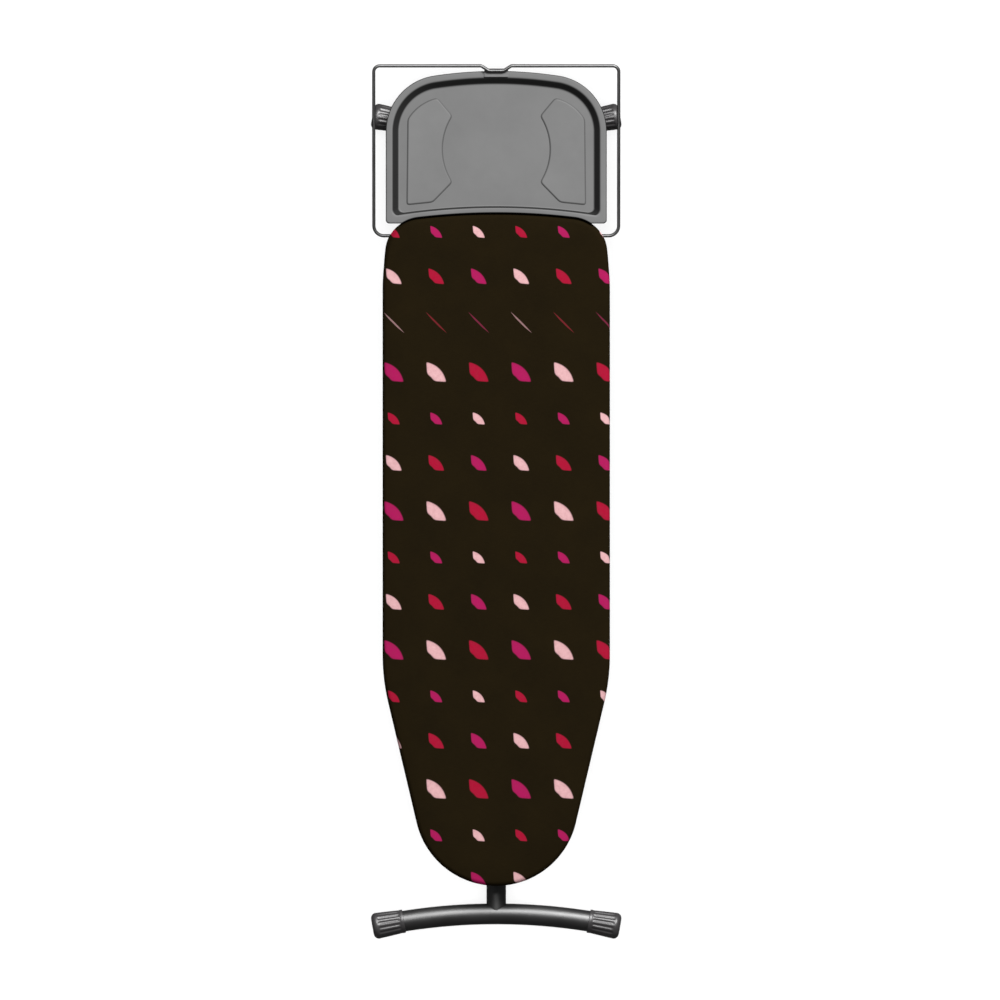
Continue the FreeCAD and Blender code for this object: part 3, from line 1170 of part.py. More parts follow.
def release_handle():
    """A bent rod from the side of the plate, down and out under the rail, and the grip on it."""
    body = new_body("release_handle")
    path = new_sketch(body, "handle_path", "XZ_Plane")
    root = "Dims.plate_half_width"
    bent_path(path, [(root, "-Dims.handle_root_drop"), ("Dims.handle_step", "-Dims.handle_root_drop"),
                     ("Dims.handle_step + Dims.handle_drop - Dims.handle_root_drop", "-Dims.handle_drop"),
                     ("Dims.handle_end", "-Dims.handle_drop")], ["Dims.handle_bend"] * 2)
    section = new_sketch(body, "handle_section", "YZ_Plane", offset=root)
    circle(section, "0", "-Dims.handle_root_drop", "Dims.handle_radius")
    pipe(body, path, section)
    part(hang_on_lever_pin(body), "release_handle")

    grip = new_body("release_grip")
    ring = new_sketch(grip, "grip_ring", "YZ_Plane",
                      offset="Dims.handle_end - Dims.grip_length + Dims.bush_flange")
    circle(ring, "0", "-Dims.handle_drop", "Dims.grip_radius")
    pad(grip, ring, "Dims.grip_length")
    socket = new_sketch(grip, "grip_socket", "YZ_Plane", offset="Dims.handle_end - Dims.grip_length")
    circle(socket, "0", "-Dims.handle_drop", "Dims.handle_radius + Dims.fixed_gap")
    pocket(grip, socket, "Dims.grip_length + Dims.fixed_gap", reversed_way=True)
    part(hang_on_lever_pin(grip), "release_grip")


# ---- hanger rail ----


def hanger_rail():
    """The bent wire round the tray: it turns at its lower ends and rests with its notch on the tray."""
    body = new_body("hanger_rail")
    path = new_sketch(body, "rail_path")
    run = "Dims.rail_far - Dims.rail_pivot"
    lean = math.atan2(val(f"{REST_TOP} + Dims.cloth_gap + Dims.rail_wire_radius - Dims.rail_pivot_height"),
                      val(f"{run} - Dims.notch_depth"))
    stretch = 1 / math.cos(lean)
    far, notch = f"{stretch} * ({run})", f"{stretch} * ({run} - Dims.notch_depth)"
    half = [("Dims.rail_end", "0"), ("Dims.rail_half_width", "0"), ("Dims.rail_half_width", far),
            ("Dims.notch_half_width", far), ("Dims.notch_floor", notch)]
    mirrored = [(f"-{x}", y) for x, y in reversed(half)]
    small = "2 * Dims.rail_wire_radius"
    radii = ["Dims.rail_foot_radius", "Dims.rail_corner_radius", small, small]
    bent_path(path, half + mirrored, radii + radii[::-1])
    section = new_sketch(body, "rail_section", "YZ_Plane", offset="Dims.rail_end")
    circle(section, "0", "0", "Dims.rail_wire_radius")
    pipe(body, path, section)
    place(body, y="Dims.rail_pivot", z="Dims.rail_pivot_height",
          turn=FreeCAD.Rotation(FreeCAD.Vector(1, 0, 0), math.degrees(lean)))
    part(body, "hanger_rail")
    for side, sign in SIDES:
        name = f"rail_collar_{side}"
        x = f"{sign} * (Dims.rail_end + Dims.fixed_gap) + {(sign - 1) / 2} * Dims.collar_width"
        disc = rod(f"{name}_disc", "Dims.collar_radius", "Dims.collar_width", ALONG_X, x=x,
                   y="Dims.rail_pivot", z="Dims.rail_pivot_height")
        bore = rod(f"{name}_bore", "Dims.rail_wire_radius + Dims.running_gap", "Dims.collar_width", ALONG_X,
                   x=x, y="Dims.rail_pivot", z="Dims.rail_pivot_height")
        part(cut(name, disc, bore), name)


def build():
    frame_tubes()
    cutter = swept_frame("frame_cutter", "Dims.frame_radius + Dims.fixed_gap")
    cross_tubes(cutter)
    soft_top()
    iron_tray()
    tray_pads()
    tray_arms(cutter)
    tray_clips()
    rail_rest()
    rail_brackets()
    leg_bracket()
    bolt_and_nut("leg_pivot", f"({CHEEK} + Dims.bracket_plate)", UPPER_PIVOT)
    slide_rails()
    clamp_rod()
    cutters = feet()
    leg_a(cutters["a"])
    leg_b(cutters["b"])
    crossing()
    slide_pins()
    carriage()
    lever_pin()
    clamp_plate()
    release_handle()
    hanger_rail()


def check_and_write():
    """Stop at a failed object or an unsound shape, then write each piece to its own file."""
    doc.recompute()
    failed = [o.Label for o in doc.Objects if {"Invalid", "Error"} & set(o.State)]
    assert not failed, f"failed objects: {failed}"
    for obj in PARTS:
        assert not obj.Shape.isNull() and obj.Shape.isValid(), f"{obj.Label} has no sound shape"
        assert obj.Shape.Solids, f"{obj.Label} has no solid"
    os.makedirs("parts", exist_ok=True)
    for obj in PARTS:
        obj.Shape.exportStep(f"parts/{obj.Label}.step")
        print(f"{obj.Label}: {len(obj.Shape.Solids)} solid, {obj.Shape.Volume / 1000:.1f} cm3")


build()
check_and_write()
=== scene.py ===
"""A folding ironing board with an iron tray and a hanger rail, seen from straight above."""
import math

import bmesh
import bpy
import numpy as np
from mathutils import Matrix, Vector
from mathutils.bvhtree import BVHTree
from mathutils.geometry import delaunay_2d_cdt


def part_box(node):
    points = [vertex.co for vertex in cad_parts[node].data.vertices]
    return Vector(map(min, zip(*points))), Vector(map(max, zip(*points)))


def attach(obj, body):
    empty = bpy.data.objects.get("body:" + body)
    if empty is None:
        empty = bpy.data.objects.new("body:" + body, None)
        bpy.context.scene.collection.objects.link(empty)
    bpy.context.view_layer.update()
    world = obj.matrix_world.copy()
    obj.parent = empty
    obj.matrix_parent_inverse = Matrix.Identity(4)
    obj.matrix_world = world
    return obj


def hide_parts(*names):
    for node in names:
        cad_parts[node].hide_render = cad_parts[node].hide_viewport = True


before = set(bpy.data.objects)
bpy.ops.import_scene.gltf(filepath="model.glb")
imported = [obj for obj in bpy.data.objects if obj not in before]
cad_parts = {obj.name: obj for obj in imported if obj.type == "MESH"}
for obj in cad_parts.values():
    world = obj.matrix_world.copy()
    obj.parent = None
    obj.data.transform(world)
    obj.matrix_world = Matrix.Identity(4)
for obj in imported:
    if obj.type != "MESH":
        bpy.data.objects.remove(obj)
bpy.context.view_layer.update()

MM = 0.001
SCENE = bpy.context.scene
FULL_TURN = 2 * math.pi


# ---- mesh helpers ----

def new_mesh(name, points, faces):
    """A mesh from points in metres and faces."""
    mesh = bpy.data.meshes.new(name)
    mesh.from_pydata([tuple(p) for p in points], [], faces)
    return mesh


def placed(name, data):
    """A new object in the scene, which may be an empty."""
    made = bpy.data.objects.new(name, data)
    SCENE.collection.objects.link(made)
    return made


def mesh_object(name, points, faces, body, surface, flat=(), weld=True):
    """An object from points in metres and faces, riding on a CAD body.

    Faces turn outwards, points that coincide are joined, and all but the flat faces are shaded smooth."""
    mesh = new_mesh(name, points, faces)
    shading = np.ones(len(mesh.polygons), bool)
    shading[list(flat)] = False
    mesh.polygons.foreach_set("use_smooth", shading)
    shaper = bmesh.new()
    shaper.from_mesh(mesh)
    if weld:
        bmesh.ops.remove_doubles(shaper, verts=shaper.verts, dist=1e-5)
    bmesh.ops.recalc_face_normals(shaper, faces=shaper.faces)
    shaper.to_mesh(mesh)
    shaper.free()
    mesh.materials.append(surface)
    made = placed(name, mesh)
    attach(made, body)
    return made


def arc(centre, radius, first, last, count):
    """Points on an arc; angles in radians."""
    angles = np.linspace(first, last, count)
    return np.c_[centre[0] + radius * np.cos(angles), centre[1] + radius * np.sin(angles)]


def round_angles(count):
    """Evenly spaced angles once round a circle."""
    return np.linspace(0, FULL_TURN, count + 1)[:-1]


def unit(vectors):
    """One vector, or each of many, at length one."""
    return vectors / np.linalg.norm(vectors, axis=-1, keepdims=True)


def circle(middle, radius, side, up, count):
    """Points round a circle in space, whose plane holds the unit vectors side and up."""
    return [middle + radius * (math.cos(t) * side + math.sin(t) * up) for t in round_angles(count)]


def signed_area(loop):
    """The area of a closed loop, positive when it runs anticlockwise."""
    x, y = loop[:, 0], loop[:, 1]
    return (np.dot(x, np.roll(y, -1)) - np.dot(y, np.roll(x, -1))) / 2


def joined(pieces):
    """One run from pieces that share their ends."""
    return np.vstack([pieces[0]] + [p[1:] for p in pieces[1:]])


def closed_loop(half):
    """A whole loop from its right half, which starts and ends on the long axis."""
    left = half[1:-1][::-1] * (-1, 1)
    return np.vstack([half, left])


KEEP_OFF = 0.45  # how far the inner points of a fill stay from its loop, as a share of their spacing


def fill(loop, grid_step, height, start, spare):
    """The new points and the triangles that fill a loop whose own points have the indices from start on.

    The new points have the indices from spare on."""
    count = len(loop)
    low, high = loop.min(0), loop.max(0)
    xs = np.arange(low[0] + grid_step / 2, high[0], grid_step)
    ys = np.arange(low[1] + grid_step / 2, high[1], grid_step)
    inner = np.array([(x, y) for x in xs for y in ys])
    inner = inner[inside(inner, loop, grid_step * KEEP_OFF)]
    everything = [Vector(p) for p in np.vstack([loop, inner])]
    edges = [(i, (i + 1) % count) for i in range(count)]
    points, _, faces, origins, _, _ = delaunay_2d_cdt(everything, edges, [], 1, 1e-7)
    index, extra = [], []
    for point, origin in zip(points, origins):
        if origin and origin[0] < count:
            index.append(start + origin[0])
        else:
            index.append(spare + len(extra))
            extra.append((point[0], point[1], height))
    return extra, [tuple(index[i] for i in face) for face in faces]


def inside(points, loop, margin):
    """Which points lie inside a loop, at least a margin from it."""
    following = np.roll(loop, -1, 0)
    within = np.zeros(len(points), bool)
    near = np.full(len(points), np.inf)
    for (x0, y0), (x1, y1) in zip(loop, following):
        crosses = (y0 > points[:, 1]) != (y1 > points[:, 1])
        if y1 != y0:
            within ^= crosses & (points[:, 0] < (x1 - x0) * (points[:, 1] - y0) / (y1 - y0) + x0)
        edge = np.array((x1 - x0, y1 - y0))
        along = np.clip(((points - (x0, y0)) @ edge) / (edge @ edge), 0, 1)
        near = np.minimum(near, np.linalg.norm(points - (x0, y0) - along[:, None] * edge, axis=1))
    return within & (near > margin)


class Shell:
    """A mesh built from rings of points and fills, in millimetres."""

    def __init__(self):
        self.points, self.faces, self.flat = [], [], []

    def rings(self, loops):
        """Add rings of 3-D points, as many in each, joined by quads. Returns the first index of each."""
        count = len(loops[0])
        starts = [len(self.points) + i * count for i in range(len(loops))]
        for loop in loops:
            self.points += [tuple(p) for p in loop]
        for low, high in zip(starts, starts[1:]):
            for i in range(count):
                j = (i + 1) % count
                self.faces.append((low + i, low + j, high + j, high + i))
        return starts

    def cap(self, first, loop, height, grid_step, smooth=False):
        """Fill a ring that is already there."""
        extra, faces = fill(loop, grid_step, height, first, len(self.points))
        self.points += extra
        if not smooth:
            self.flat += range(len(self.faces), len(self.faces) + len(faces))
        self.faces += faces

    def object(self, name, body, surface):
        return mesh_object(name, np.array(self.points) * MM, self.faces, body, surface, self.flat)


def at_height(loop, height):
    """2-D points lifted to a height, which may be one number or one a point."""
    return np.c_[loop, np.broadcast_to(height, len(loop))]


# ---- outlines, in millimetres, as the CAD has them ----

HEAD_EDGE, LENGTH, HALF_WIDTH = 484.0, 1130.0, 191.5
NOSE_RADIUS, BLEND_RADIUS, SHOULDER_RADIUS = 138.0, 350.0, 400.0
CORNER_RADIUS, HEAD_RADIUS, SHOULDER_START = 62.0, 1100.0, 129.6
TAPER = math.radians(13.3)
HEAD_CENTRE = (0.0, HEAD_EDGE - HEAD_RADIUS)
SHOULDER_CENTRE = (HALF_WIDTH - SHOULDER_RADIUS, HEAD_EDGE - SHOULDER_START)


def head_corner():
    """The centre of the corner circle, which touches the head arc and the shoulder arc inside."""
    across = SHOULDER_CENTRE[0]
    up = SHOULDER_CENTRE[1] - HEAD_CENTRE[1]
    span = math.hypot(across, up)
    from_head, from_shoulder = HEAD_RADIUS - CORNER_RADIUS, SHOULDER_RADIUS - CORNER_RADIUS
    along = (from_head ** 2 - from_shoulder ** 2 + span ** 2) / (2 * span)
    aside = math.sqrt(from_head ** 2 - along ** 2)
    return ((along * across + aside * up) / span, HEAD_CENTRE[1] + (along * up - aside * across) / span)


CORNER_CENTRE = head_corner()


# Points on the head, corner, shoulder, side, blend, taper and tip of half of the outline.
MANY = (60, 36, 44, 250, 44, 150, 110)
FEW = (16, 12, 12, 30, 12, 30, 30)


def board_half(inset, counts=MANY):
    """The right half of the board's outline, from the middle of the head to the nose tip."""
    blend_x = HALF_WIDTH - BLEND_RADIUS
    nose = (0.0, HEAD_EDGE - LENGTH + NOSE_RADIUS)
    along = (blend_x + (BLEND_RADIUS - NOSE_RADIUS) * math.cos(TAPER)) / math.sin(TAPER)
    blend = (blend_x, nose[1] + along * math.cos(TAPER) + (BLEND_RADIUS - NOSE_RADIUS) * math.sin(TAPER))
    crown = math.atan2(CORNER_CENTRE[1] - HEAD_CENTRE[1], CORNER_CENTRE[0])
    lean = math.atan2(CORNER_CENTRE[1] - SHOULDER_CENTRE[1], CORNER_CENTRE[0] - SHOULDER_CENTRE[0])
    head = arc(HEAD_CENTRE, HEAD_RADIUS - inset, math.pi / 2, crown, counts[0])
    corner = arc(CORNER_CENTRE, CORNER_RADIUS - inset, crown, lean, counts[1])
    shoulder = arc(SHOULDER_CENTRE, SHOULDER_RADIUS - inset, lean, 0, counts[2])
    merge = arc(blend, BLEND_RADIUS - inset, 0, -TAPER, counts[4])
    tip = arc(nose, NOSE_RADIUS - inset, -TAPER, -math.pi / 2, counts[6])
    return joined([head, corner, shoulder, np.linspace(shoulder[-1], merge[0], counts[3]), merge,
                   np.linspace(merge[-1], tip[0], counts[5]), tip])


def board_loop(inset, counts=MANY):
    """The board's whole outline, moved inwards by an inset."""
    return closed_loop(board_half(inset, counts))


def along_loop(loop):
    """The distance of each point along a closed loop, and the loop's whole length."""
    steps = np.linalg.norm(np.roll(loop, -1, 0) - loop, axis=1)
    return np.r_[0, np.cumsum(steps)[:-1]], steps.sum()


TRAY_HALF, TRAY_FAR, TRAY_SOLE = 185.6, 723.6, 467.4
TRAY_CROWN, TRAY_SHOULDER, TRAY_TOE, LIP_GAP = 700.0, 95.0, 6.0, 1.2
TRAY_RIM, TRAY_SLOPE, NEAR_RIM, NEAR_SLOPE, WELL_CORNER = 11.5, 10.5, 10.0, 2.4, 9.0
TRAY_FLOOR, TRAY_WALL, RIM_TOP, RIM_ROUND, LIP = 73.8, 2.5, 84.3, 2.1, 7.0


def far_half(inset, low):
    """The tray's far edge, far corner and straight side, down to a Y, on the right."""
    lean = math.acos((TRAY_HALF - TRAY_SHOULDER) / (TRAY_CROWN - TRAY_SHOULDER))
    crown_y = TRAY_FAR - TRAY_CROWN
    shoulder = (TRAY_HALF - TRAY_SHOULDER, crown_y + (TRAY_CROWN - TRAY_SHOULDER) * math.sin(lean))
    far = arc((0, crown_y), TRAY_CROWN - inset, math.pi / 2, lean, 36)
    turn = arc(shoulder, TRAY_SHOULDER - inset, lean, 0, 60)
    side = np.linspace(turn[-1], (TRAY_HALF - inset, low), 70)
    return [far, turn, side]


NEAR_SHARES = np.r_[np.linspace(1, 0.62, 36), np.linspace(0.62, 0, 50)[1:]]


def rim_half(inset):
    """The right half of the tray's outer outline."""
    half, sole = TRAY_HALF - inset, TRAY_SOLE + inset
    offset = LIP_GAP + inset
    cove = CORNER_RADIUS + offset
    first = math.asin((sole - CORNER_CENTRE[1]) / cove)
    crown = math.atan2(CORNER_CENTRE[1] - HEAD_CENTRE[1], CORNER_CENTRE[0])
    toe = arc((half - TRAY_TOE, sole + TRAY_TOE), TRAY_TOE, 0, -math.pi / 2, 14)
    hollow = arc(CORNER_CENTRE, cove, first, crown, 80)
    head = arc(HEAD_CENTRE, HEAD_RADIUS + offset, crown, math.pi / 2, 80)
    near = joined([np.linspace(toe[-1], hollow[0], 4), hollow, head])[::-1]
    x = toe[-1][0] * NEAR_SHARES
    return joined(far_half(inset, sole + TRAY_TOE) + [toe, np.c_[x, np.interp(x, near[:, 0], near[:, 1])]])


def well_half(inset, offset):
    """The right half of the outline of the tray's well."""
    turn_x = TRAY_HALF - inset - WELL_CORNER
    turn_y = HEAD_CENTRE[1] + math.sqrt((HEAD_RADIUS + offset + WELL_CORNER) ** 2 - turn_x ** 2)
    crown = math.atan2(turn_y - HEAD_CENTRE[1], turn_x)
    corner = arc((turn_x, turn_y), WELL_CORNER, 0, crown - math.pi, 14)
    x = corner[-1][0] * NEAR_SHARES
    y = HEAD_CENTRE[1] + np.sqrt((HEAD_RADIUS + offset) ** 2 - x ** 2)
    return joined(far_half(inset, turn_y) + [corner, np.c_[x, y]])


# ---- materials ----

def linear(red, green, blue):
    """A colour given as 0 to 255 in sRGB, as Blender's linear values."""
    shares = [c / 255 for c in (red, green, blue)]
    return tuple(c / 12.92 if c <= 0.04045 else ((c + 0.055) / 1.055) ** 2.4 for c in shares) + (1.0,)


class Nodes:
    """Adds nodes to a node tree and wires them."""

    def __init__(self, tree):
        self.tree = tree

    def add(self, kind, inputs=None, **settings):
        node = self.tree.nodes.new(kind)
        for name, value in settings.items():
            setattr(node, name, value)
        for name, value in (inputs or {}).items():
            self.feed(node.inputs[name], value)
        return node

    def feed(self, socket, value):
        if isinstance(value, bpy.types.NodeSocket):
            self.tree.links.new(value, socket)
        else:
            socket.default_value = value

    def math(self, operation, *values):
        node = self.add("ShaderNodeMath", operation=operation)
        for socket, value in zip(node.inputs, values):
            self.feed(socket, value)
        return node.outputs[0]

    def mix(self, share, first, second):
        node = self.add("ShaderNodeMix", data_type="RGBA")
        for name, value in (("Factor_Float", share), ("A_Color", first), ("B_Color", second)):
            self.feed(next(s for s in node.inputs if s.identifier == name), value)
        return next(s for s in node.outputs if s.identifier == "Result_Color")

    def noise(self, where, size, detail, roughness, distortion=0.0):
        """Noise from 0 to 1 with features of about a size in metres."""
        node = self.add("ShaderNodeTexNoise", {"Vector": where, "Scale": 1 / size, "Detail": detail,
                                               "Roughness": roughness, "Distortion": distortion})
        return node.outputs["Fac"]

    def spread(self, value, low, high, to_low=0.0, to_high=1.0):
        node = self.add("ShaderNodeMapRange", {"Value": value, "From Min": low, "From Max": high,
                                               "To Min": to_low, "To Max": to_high})
        return node.outputs["Result"]

    def bump(self, height, strength, distance, under=None):
        inputs = {"Height": height, "Strength": strength, "Distance": distance}
        if under is not None:
            inputs["Normal"] = under
        return self.add("ShaderNodeBump", inputs).outputs["Normal"]

    def finish(self, colour, roughness, normal=None):
        """Wire the three sockets of the material's shader that vary over the surface."""
        sockets = self.tree.nodes["Principled BSDF"].inputs
        self.feed(sockets["Base Color"], colour)
        self.feed(sockets["Roughness"], roughness)
        if normal is not None:
            self.feed(sockets["Normal"], normal)


def new_material(name, **sockets):
    """A material and its node helper, with the constant sockets set on the shader."""
    made = bpy.data.materials.new(name)
    made.use_nodes = True
    for socket, value in sockets.items():
        made.node_tree.nodes["Principled BSDF"].inputs[socket.replace("_", " ")].default_value = value
    return made, Nodes(made.node_tree)


SCUFF = (0.32, 0.32, 0.33, 1)


def grained(name, dark, light, size, rough, grain, bump, scuffs=0.0, slopes=None, **sockets):
    """A surface with mottled colour and roughness, a fine grain, and some pale scuffs if asked for.

    Sloping faces may get a darker colour than level faces, which is painted shade."""
    made, nodes = new_material(name, **sockets)
    where = nodes.add("ShaderNodeTexCoord").outputs["Object"]
    broad = nodes.noise(where, size, 4.0, 0.6)
    fine = nodes.noise(where, grain, 2.0, 0.5)
    colour = nodes.mix(nodes.spread(broad, 0.3, 0.7), linear(*dark), linear(*light))
    if scuffs:
        streaks = nodes.noise(where, size * 0.35, 6.0, 0.75, 1.5)
        colour = nodes.mix(nodes.spread(streaks, 0.66, 0.74, 0.0, scuffs), colour, SCUFF)
    # Painted shade: the steeper a face, the more its colour turns to the darker slope colour. This stands in
    # for the shade on sloping walls and edges.
    if slopes:
        normal = nodes.add("ShaderNodeTexCoord").outputs["Normal"]
        up = nodes.add("ShaderNodeSeparateXYZ", {0: normal}).outputs["Z"]
        colour = nodes.mix(nodes.spread(up, 0.8, 0.97), linear(*slopes), colour)
    nodes.finish(colour, nodes.spread(broad, 0.25, 0.75, *rough), nodes.bump(fine, bump, grain * 0.4))
    return made


FIRST_COLUMN, COLUMN_STEP = -172.2, 71.4
RED, MAGENTA, PALE = linear(187, 19, 57), linear(190, 28, 100), linear(253, 200, 203)
PETAL_VALUES = ("Row", "Period", "Size", "Slim", "Shift", "Lowest", "Highest")
PLAIN_VALUES = ("Slim", "Shift")  # the others are in millimetres
# A row's Y, the period of its repeats, the petals' size and slimness, the colour of the first column
# (0 red, 1 magenta, 2 pale), and the lowest and highest Y that the row is printed at.
PETAL_ROWS = (
    (217.9, 233.4, 47.5, 1.0, 1, -900, 258),
    (139.9, 233.4, 29.2, 1.0, 0, -900, 258),
    (65.3, 233.4, 38.2, 1.0, 2, -900, 258),
    (453.4, 2000.0, 29.2, 0.95, 0, 420, 900),
    (378.8, 2000.0, 38.2, 0.95, 2, 340, 420),
    (301.2, 2000.0, 53.0, 0.13, 2, 258, 340),
)
SLASH, DULL = 0.5, 0.35  # a petal slimmer than the first is a slash, which has this share of its colour
# A petal's outline, as shares of its size: the height of its bow, the slope of its two cut sides, the
# flat between them and how far that rises towards the tips, and how round the corners are.
BOW, CUT_SLOPE, FLAT, FLAT_RISE, CORNER = 0.16, 0.87, 0.262, 0.08, 0.12
INK_EDGE, RIM_WIDTH = (-0.012, 0.028), 0.12


def petal_group():
    """A node group that draws one row of slanted petals, repeated down the cloth."""
    tree = bpy.data.node_groups.new("petal_row", "ShaderNodeTree")
    tree.interface.new_socket("Cloth", in_out="INPUT", socket_type="NodeSocketVector")
    for names, way in ((PETAL_VALUES, "INPUT"), (("Mask", "Turn", "Middle"), "OUTPUT")):
        for name in names:
            tree.interface.new_socket(name, in_out=way, socket_type="NodeSocketFloat")
    nodes = Nodes(tree)
    calc = nodes.math
    given = nodes.add("NodeGroupInput").outputs
    split = nodes.add("ShaderNodeSeparateXYZ", {0: given["Cloth"]}).outputs

    def nearest(place, first, step):
        """The number of the nearest petal along one axis, and the distance from its middle."""
        number = calc("ROUND", calc("DIVIDE", calc("SUBTRACT", place, first), step))
        middle = calc("ADD", calc("MULTIPLY", number, step), first)
        return number, calc("SUBTRACT", place, middle)

    column, across = nearest(split["X"], FIRST_COLUMN * MM, COLUMN_STEP * MM)
    up = nearest(split["Y"], given["Row"], given["Period"])[1]
    slant = math.sqrt(0.5)
    along = calc("DIVIDE", calc("MULTIPLY", calc("SUBTRACT", across, up), slant), given["Size"])
    aside = calc("DIVIDE", calc("MULTIPLY", calc("ADD", across, up), slant),
                 calc("MULTIPLY", given["Size"], given["Slim"]))
    square = calc("MULTIPLY", calc("MULTIPLY", along, along), 4.0)
    bow = calc("MULTIPLY", calc("SUBTRACT", 1.0, square), BOW)
    above = calc("SUBTRACT", bow, aside)
    off = calc("ABSOLUTE", along)
    side = calc("MULTIPLY", calc("SUBTRACT", 0.5, off), CUT_SLOPE)
    flat = calc("ADD", FLAT, calc("MULTIPLY", off, FLAT_RISE))
    below = calc("ADD", aside, calc("SMOOTH_MIN", side, flat, CORNER))
    edge = calc("SMOOTH_MIN", above, below, CORNER)
    mask = nodes.spread(edge, *INK_EDGE)
    for limit, test in ((given["Lowest"], "GREATER_THAN"), (given["Highest"], "LESS_THAN")):
        mask = calc("MULTIPLY", mask, calc(test, split["Y"], limit))
    turn = calc("FLOORED_MODULO", calc("ADD", column, given["Shift"]), 3.0)
    middle = nodes.spread(edge, 0.0, RIM_WIDTH)
    nodes.add("NodeGroupOutput", {"Mask": mask, "Turn": turn, "Middle": middle})
    return tree


WEAVE = 0.0009  # metres from one thread to the next but one


def cover_material():
    """Dark plain-woven cotton printed with small petals, which follow the cloth round the edge."""
    made, nodes = new_material("cover_cotton", Specular_IOR_Level=0.04)
    cloth = nodes.add("ShaderNodeUVMap", uv_map="cloth").outputs["UV"]
    petals = petal_group()
    worn = nodes.noise(cloth, 0.09, 3.0, 0.6)
    stretched = nodes.add("ShaderNodeMapping", {"Vector": cloth, "Scale": (1.0, 14.0, 1.0)}).outputs[0]
    slub = nodes.noise(stretched, 0.012, 3.0, 0.6)
    ground = nodes.mix(nodes.spread(worn, 0.3, 0.7), linear(30, 23, 10), linear(36, 28, 13))
    ground = nodes.mix(nodes.spread(slub, 0.35, 0.75, 0.0, 0.35), ground, linear(43, 35, 17))
    ink = nodes.noise(cloth, 0.006, 4.0, 0.6)
    inked = nodes.spread(ink, 0.3, 0.7, 0.0, 0.22)
    for row in PETAL_ROWS:
        values = dict(zip(PETAL_VALUES, row))
        drawn = nodes.add("ShaderNodeGroup", node_tree=petals)
        nodes.feed(drawn.inputs["Cloth"], cloth)
        for name, value in values.items():
            nodes.feed(drawn.inputs[name], value if name in PLAIN_VALUES else value * MM)
        third = nodes.math("DIVIDE", nodes.math("ADD", drawn.outputs["Turn"], 0.5), 3.0)
        ramp = nodes.add("ShaderNodeValToRGB", {"Fac": third})
        ramp.color_ramp.interpolation = "CONSTANT"
        stops = ramp.color_ramp.elements
        stops[0].color, stops[1].position, stops[1].color = RED, 1 / 3, MAGENTA
        stops.new(2 / 3).color = PALE
        colour = nodes.mix(inked, ramp.outputs["Color"], linear(150, 60, 75))
        rim = nodes.spread(drawn.outputs["Middle"], 0.0, 1.0, 0.12, 0.0)
        colour = nodes.mix(rim, colour, linear(90, 40, 45))
        if values["Slim"] < SLASH:
            colour = nodes.mix(1 - DULL, colour, linear(60, 45, 35))
        ground = nodes.mix(drawn.outputs["Mask"], ground, colour)
    split = nodes.add("ShaderNodeSeparateXYZ", {0: cloth}).outputs
    threads = [nodes.math("SINE", nodes.math("MULTIPLY", split[axis], FULL_TURN / WEAVE)) for axis in "XY"]
    weave = nodes.math("MULTIPLY", threads[0], threads[1])
    crumple = nodes.bump(nodes.noise(cloth, 0.03, 4.0, 0.55), 0.12, 0.0012)
    nodes.finish(ground, nodes.spread(worn, 0.3, 0.7, 0.82, 0.92), nodes.bump(weave, 0.35, 0.00012, crumple))
    return made


# ---- cover ----

COVER_TOP, TOP_INSET, EDGE_ROUND, WALL_INSET = 83.0, 16.0, 9.0, 0.5
ARM_X, ARM_Z, NOTCH, NOTCH_LIMIT = 100.0, 63.0, 9.5, 440.0
HEM_LEVEL, HEM_END, TURN_UNDER = 52.3, 19.6, 50.0


def gathers():
    """How strongly the cloth is gathered at each point of the loop, and its small and broad folds."""
    loop = board_loop(0)
    s, length = along_loop(loop)
    tight = np.interp(loop[:, 1], [-646, -560, -470, -300, 330, 420, 462, 484],
                      [1.0, 1.0, 0.65, 0.3, 0.3, 0.85, 1.0, 0.55])
    turns = FULL_TURN * s / length
    wander = 2.4 * np.sin(3 * turns + 0.7) + 1.7 * np.sin(7 * turns + 2.1) + 1.1 * np.sin(16 * turns + 0.3)
    fine = np.sin(221 * turns + wander * 1.7)
    middle = np.sin(128 * turns - wander * 1.3 + 1.0)
    broad = np.sin(47 * turns + wander + 2.0)
    beat = 0.65 + 0.35 * np.sin(31 * turns + wander)
    return tight, beat * (0.55 * fine + 0.35 * middle), broad


def cover_profile():
    """Inset, height, gather share and distance over the cloth, from the top's rim to the hem's inner end."""
    rows = [(TOP_INSET, COVER_TOP, 0), (12.5, COVER_TOP - 0.05, 0)]
    for angle in np.radians(np.linspace(90, 0, 9)):
        share = 1 - angle / (math.pi / 2)
        rows.append((EDGE_ROUND - (EDGE_ROUND - WALL_INSET) * math.cos(angle),
                     COVER_TOP - EDGE_ROUND + EDGE_ROUND * math.sin(angle), 0.12 * share))
    wall = (71.0, 68.0, 65.0, 62.0, 59.0, 56.5)
    rows += [(WALL_INSET + 0.1 * k, z, 0.15 + 0.17 * k) for k, z in enumerate(wall)]
    for angle in np.radians((15, 35, 55, 75, 90)):
        rows.append((WALL_INSET + 0.6 + 3.0 * (1 - math.cos(angle)), 55.3 - 3.0 * math.sin(angle), 1.0))
    rows += [(inset, HEM_LEVEL, 1.0) for inset in (6.0, 8.5, 11.0, 13.5, 16.0, 18.2)]
    rows += [(HEM_END, HEM_LEVEL + 0.15, 0.9), (HEM_END + 0.3, HEM_LEVEL + 0.6, 0.8),
             (HEM_END - 0.3, HEM_LEVEL + 0.95, 0.6), (HEM_END - 3.0, HEM_LEVEL + 1.0, 0.5),
             (HEM_END - 7.0, HEM_LEVEL + 1.0, 0.4)]
    rows = np.array(rows)
    steps = np.hypot(np.diff(rows[:, 0]), np.diff(rows[:, 1]))
    return rows, np.r_[0, np.cumsum(steps)]


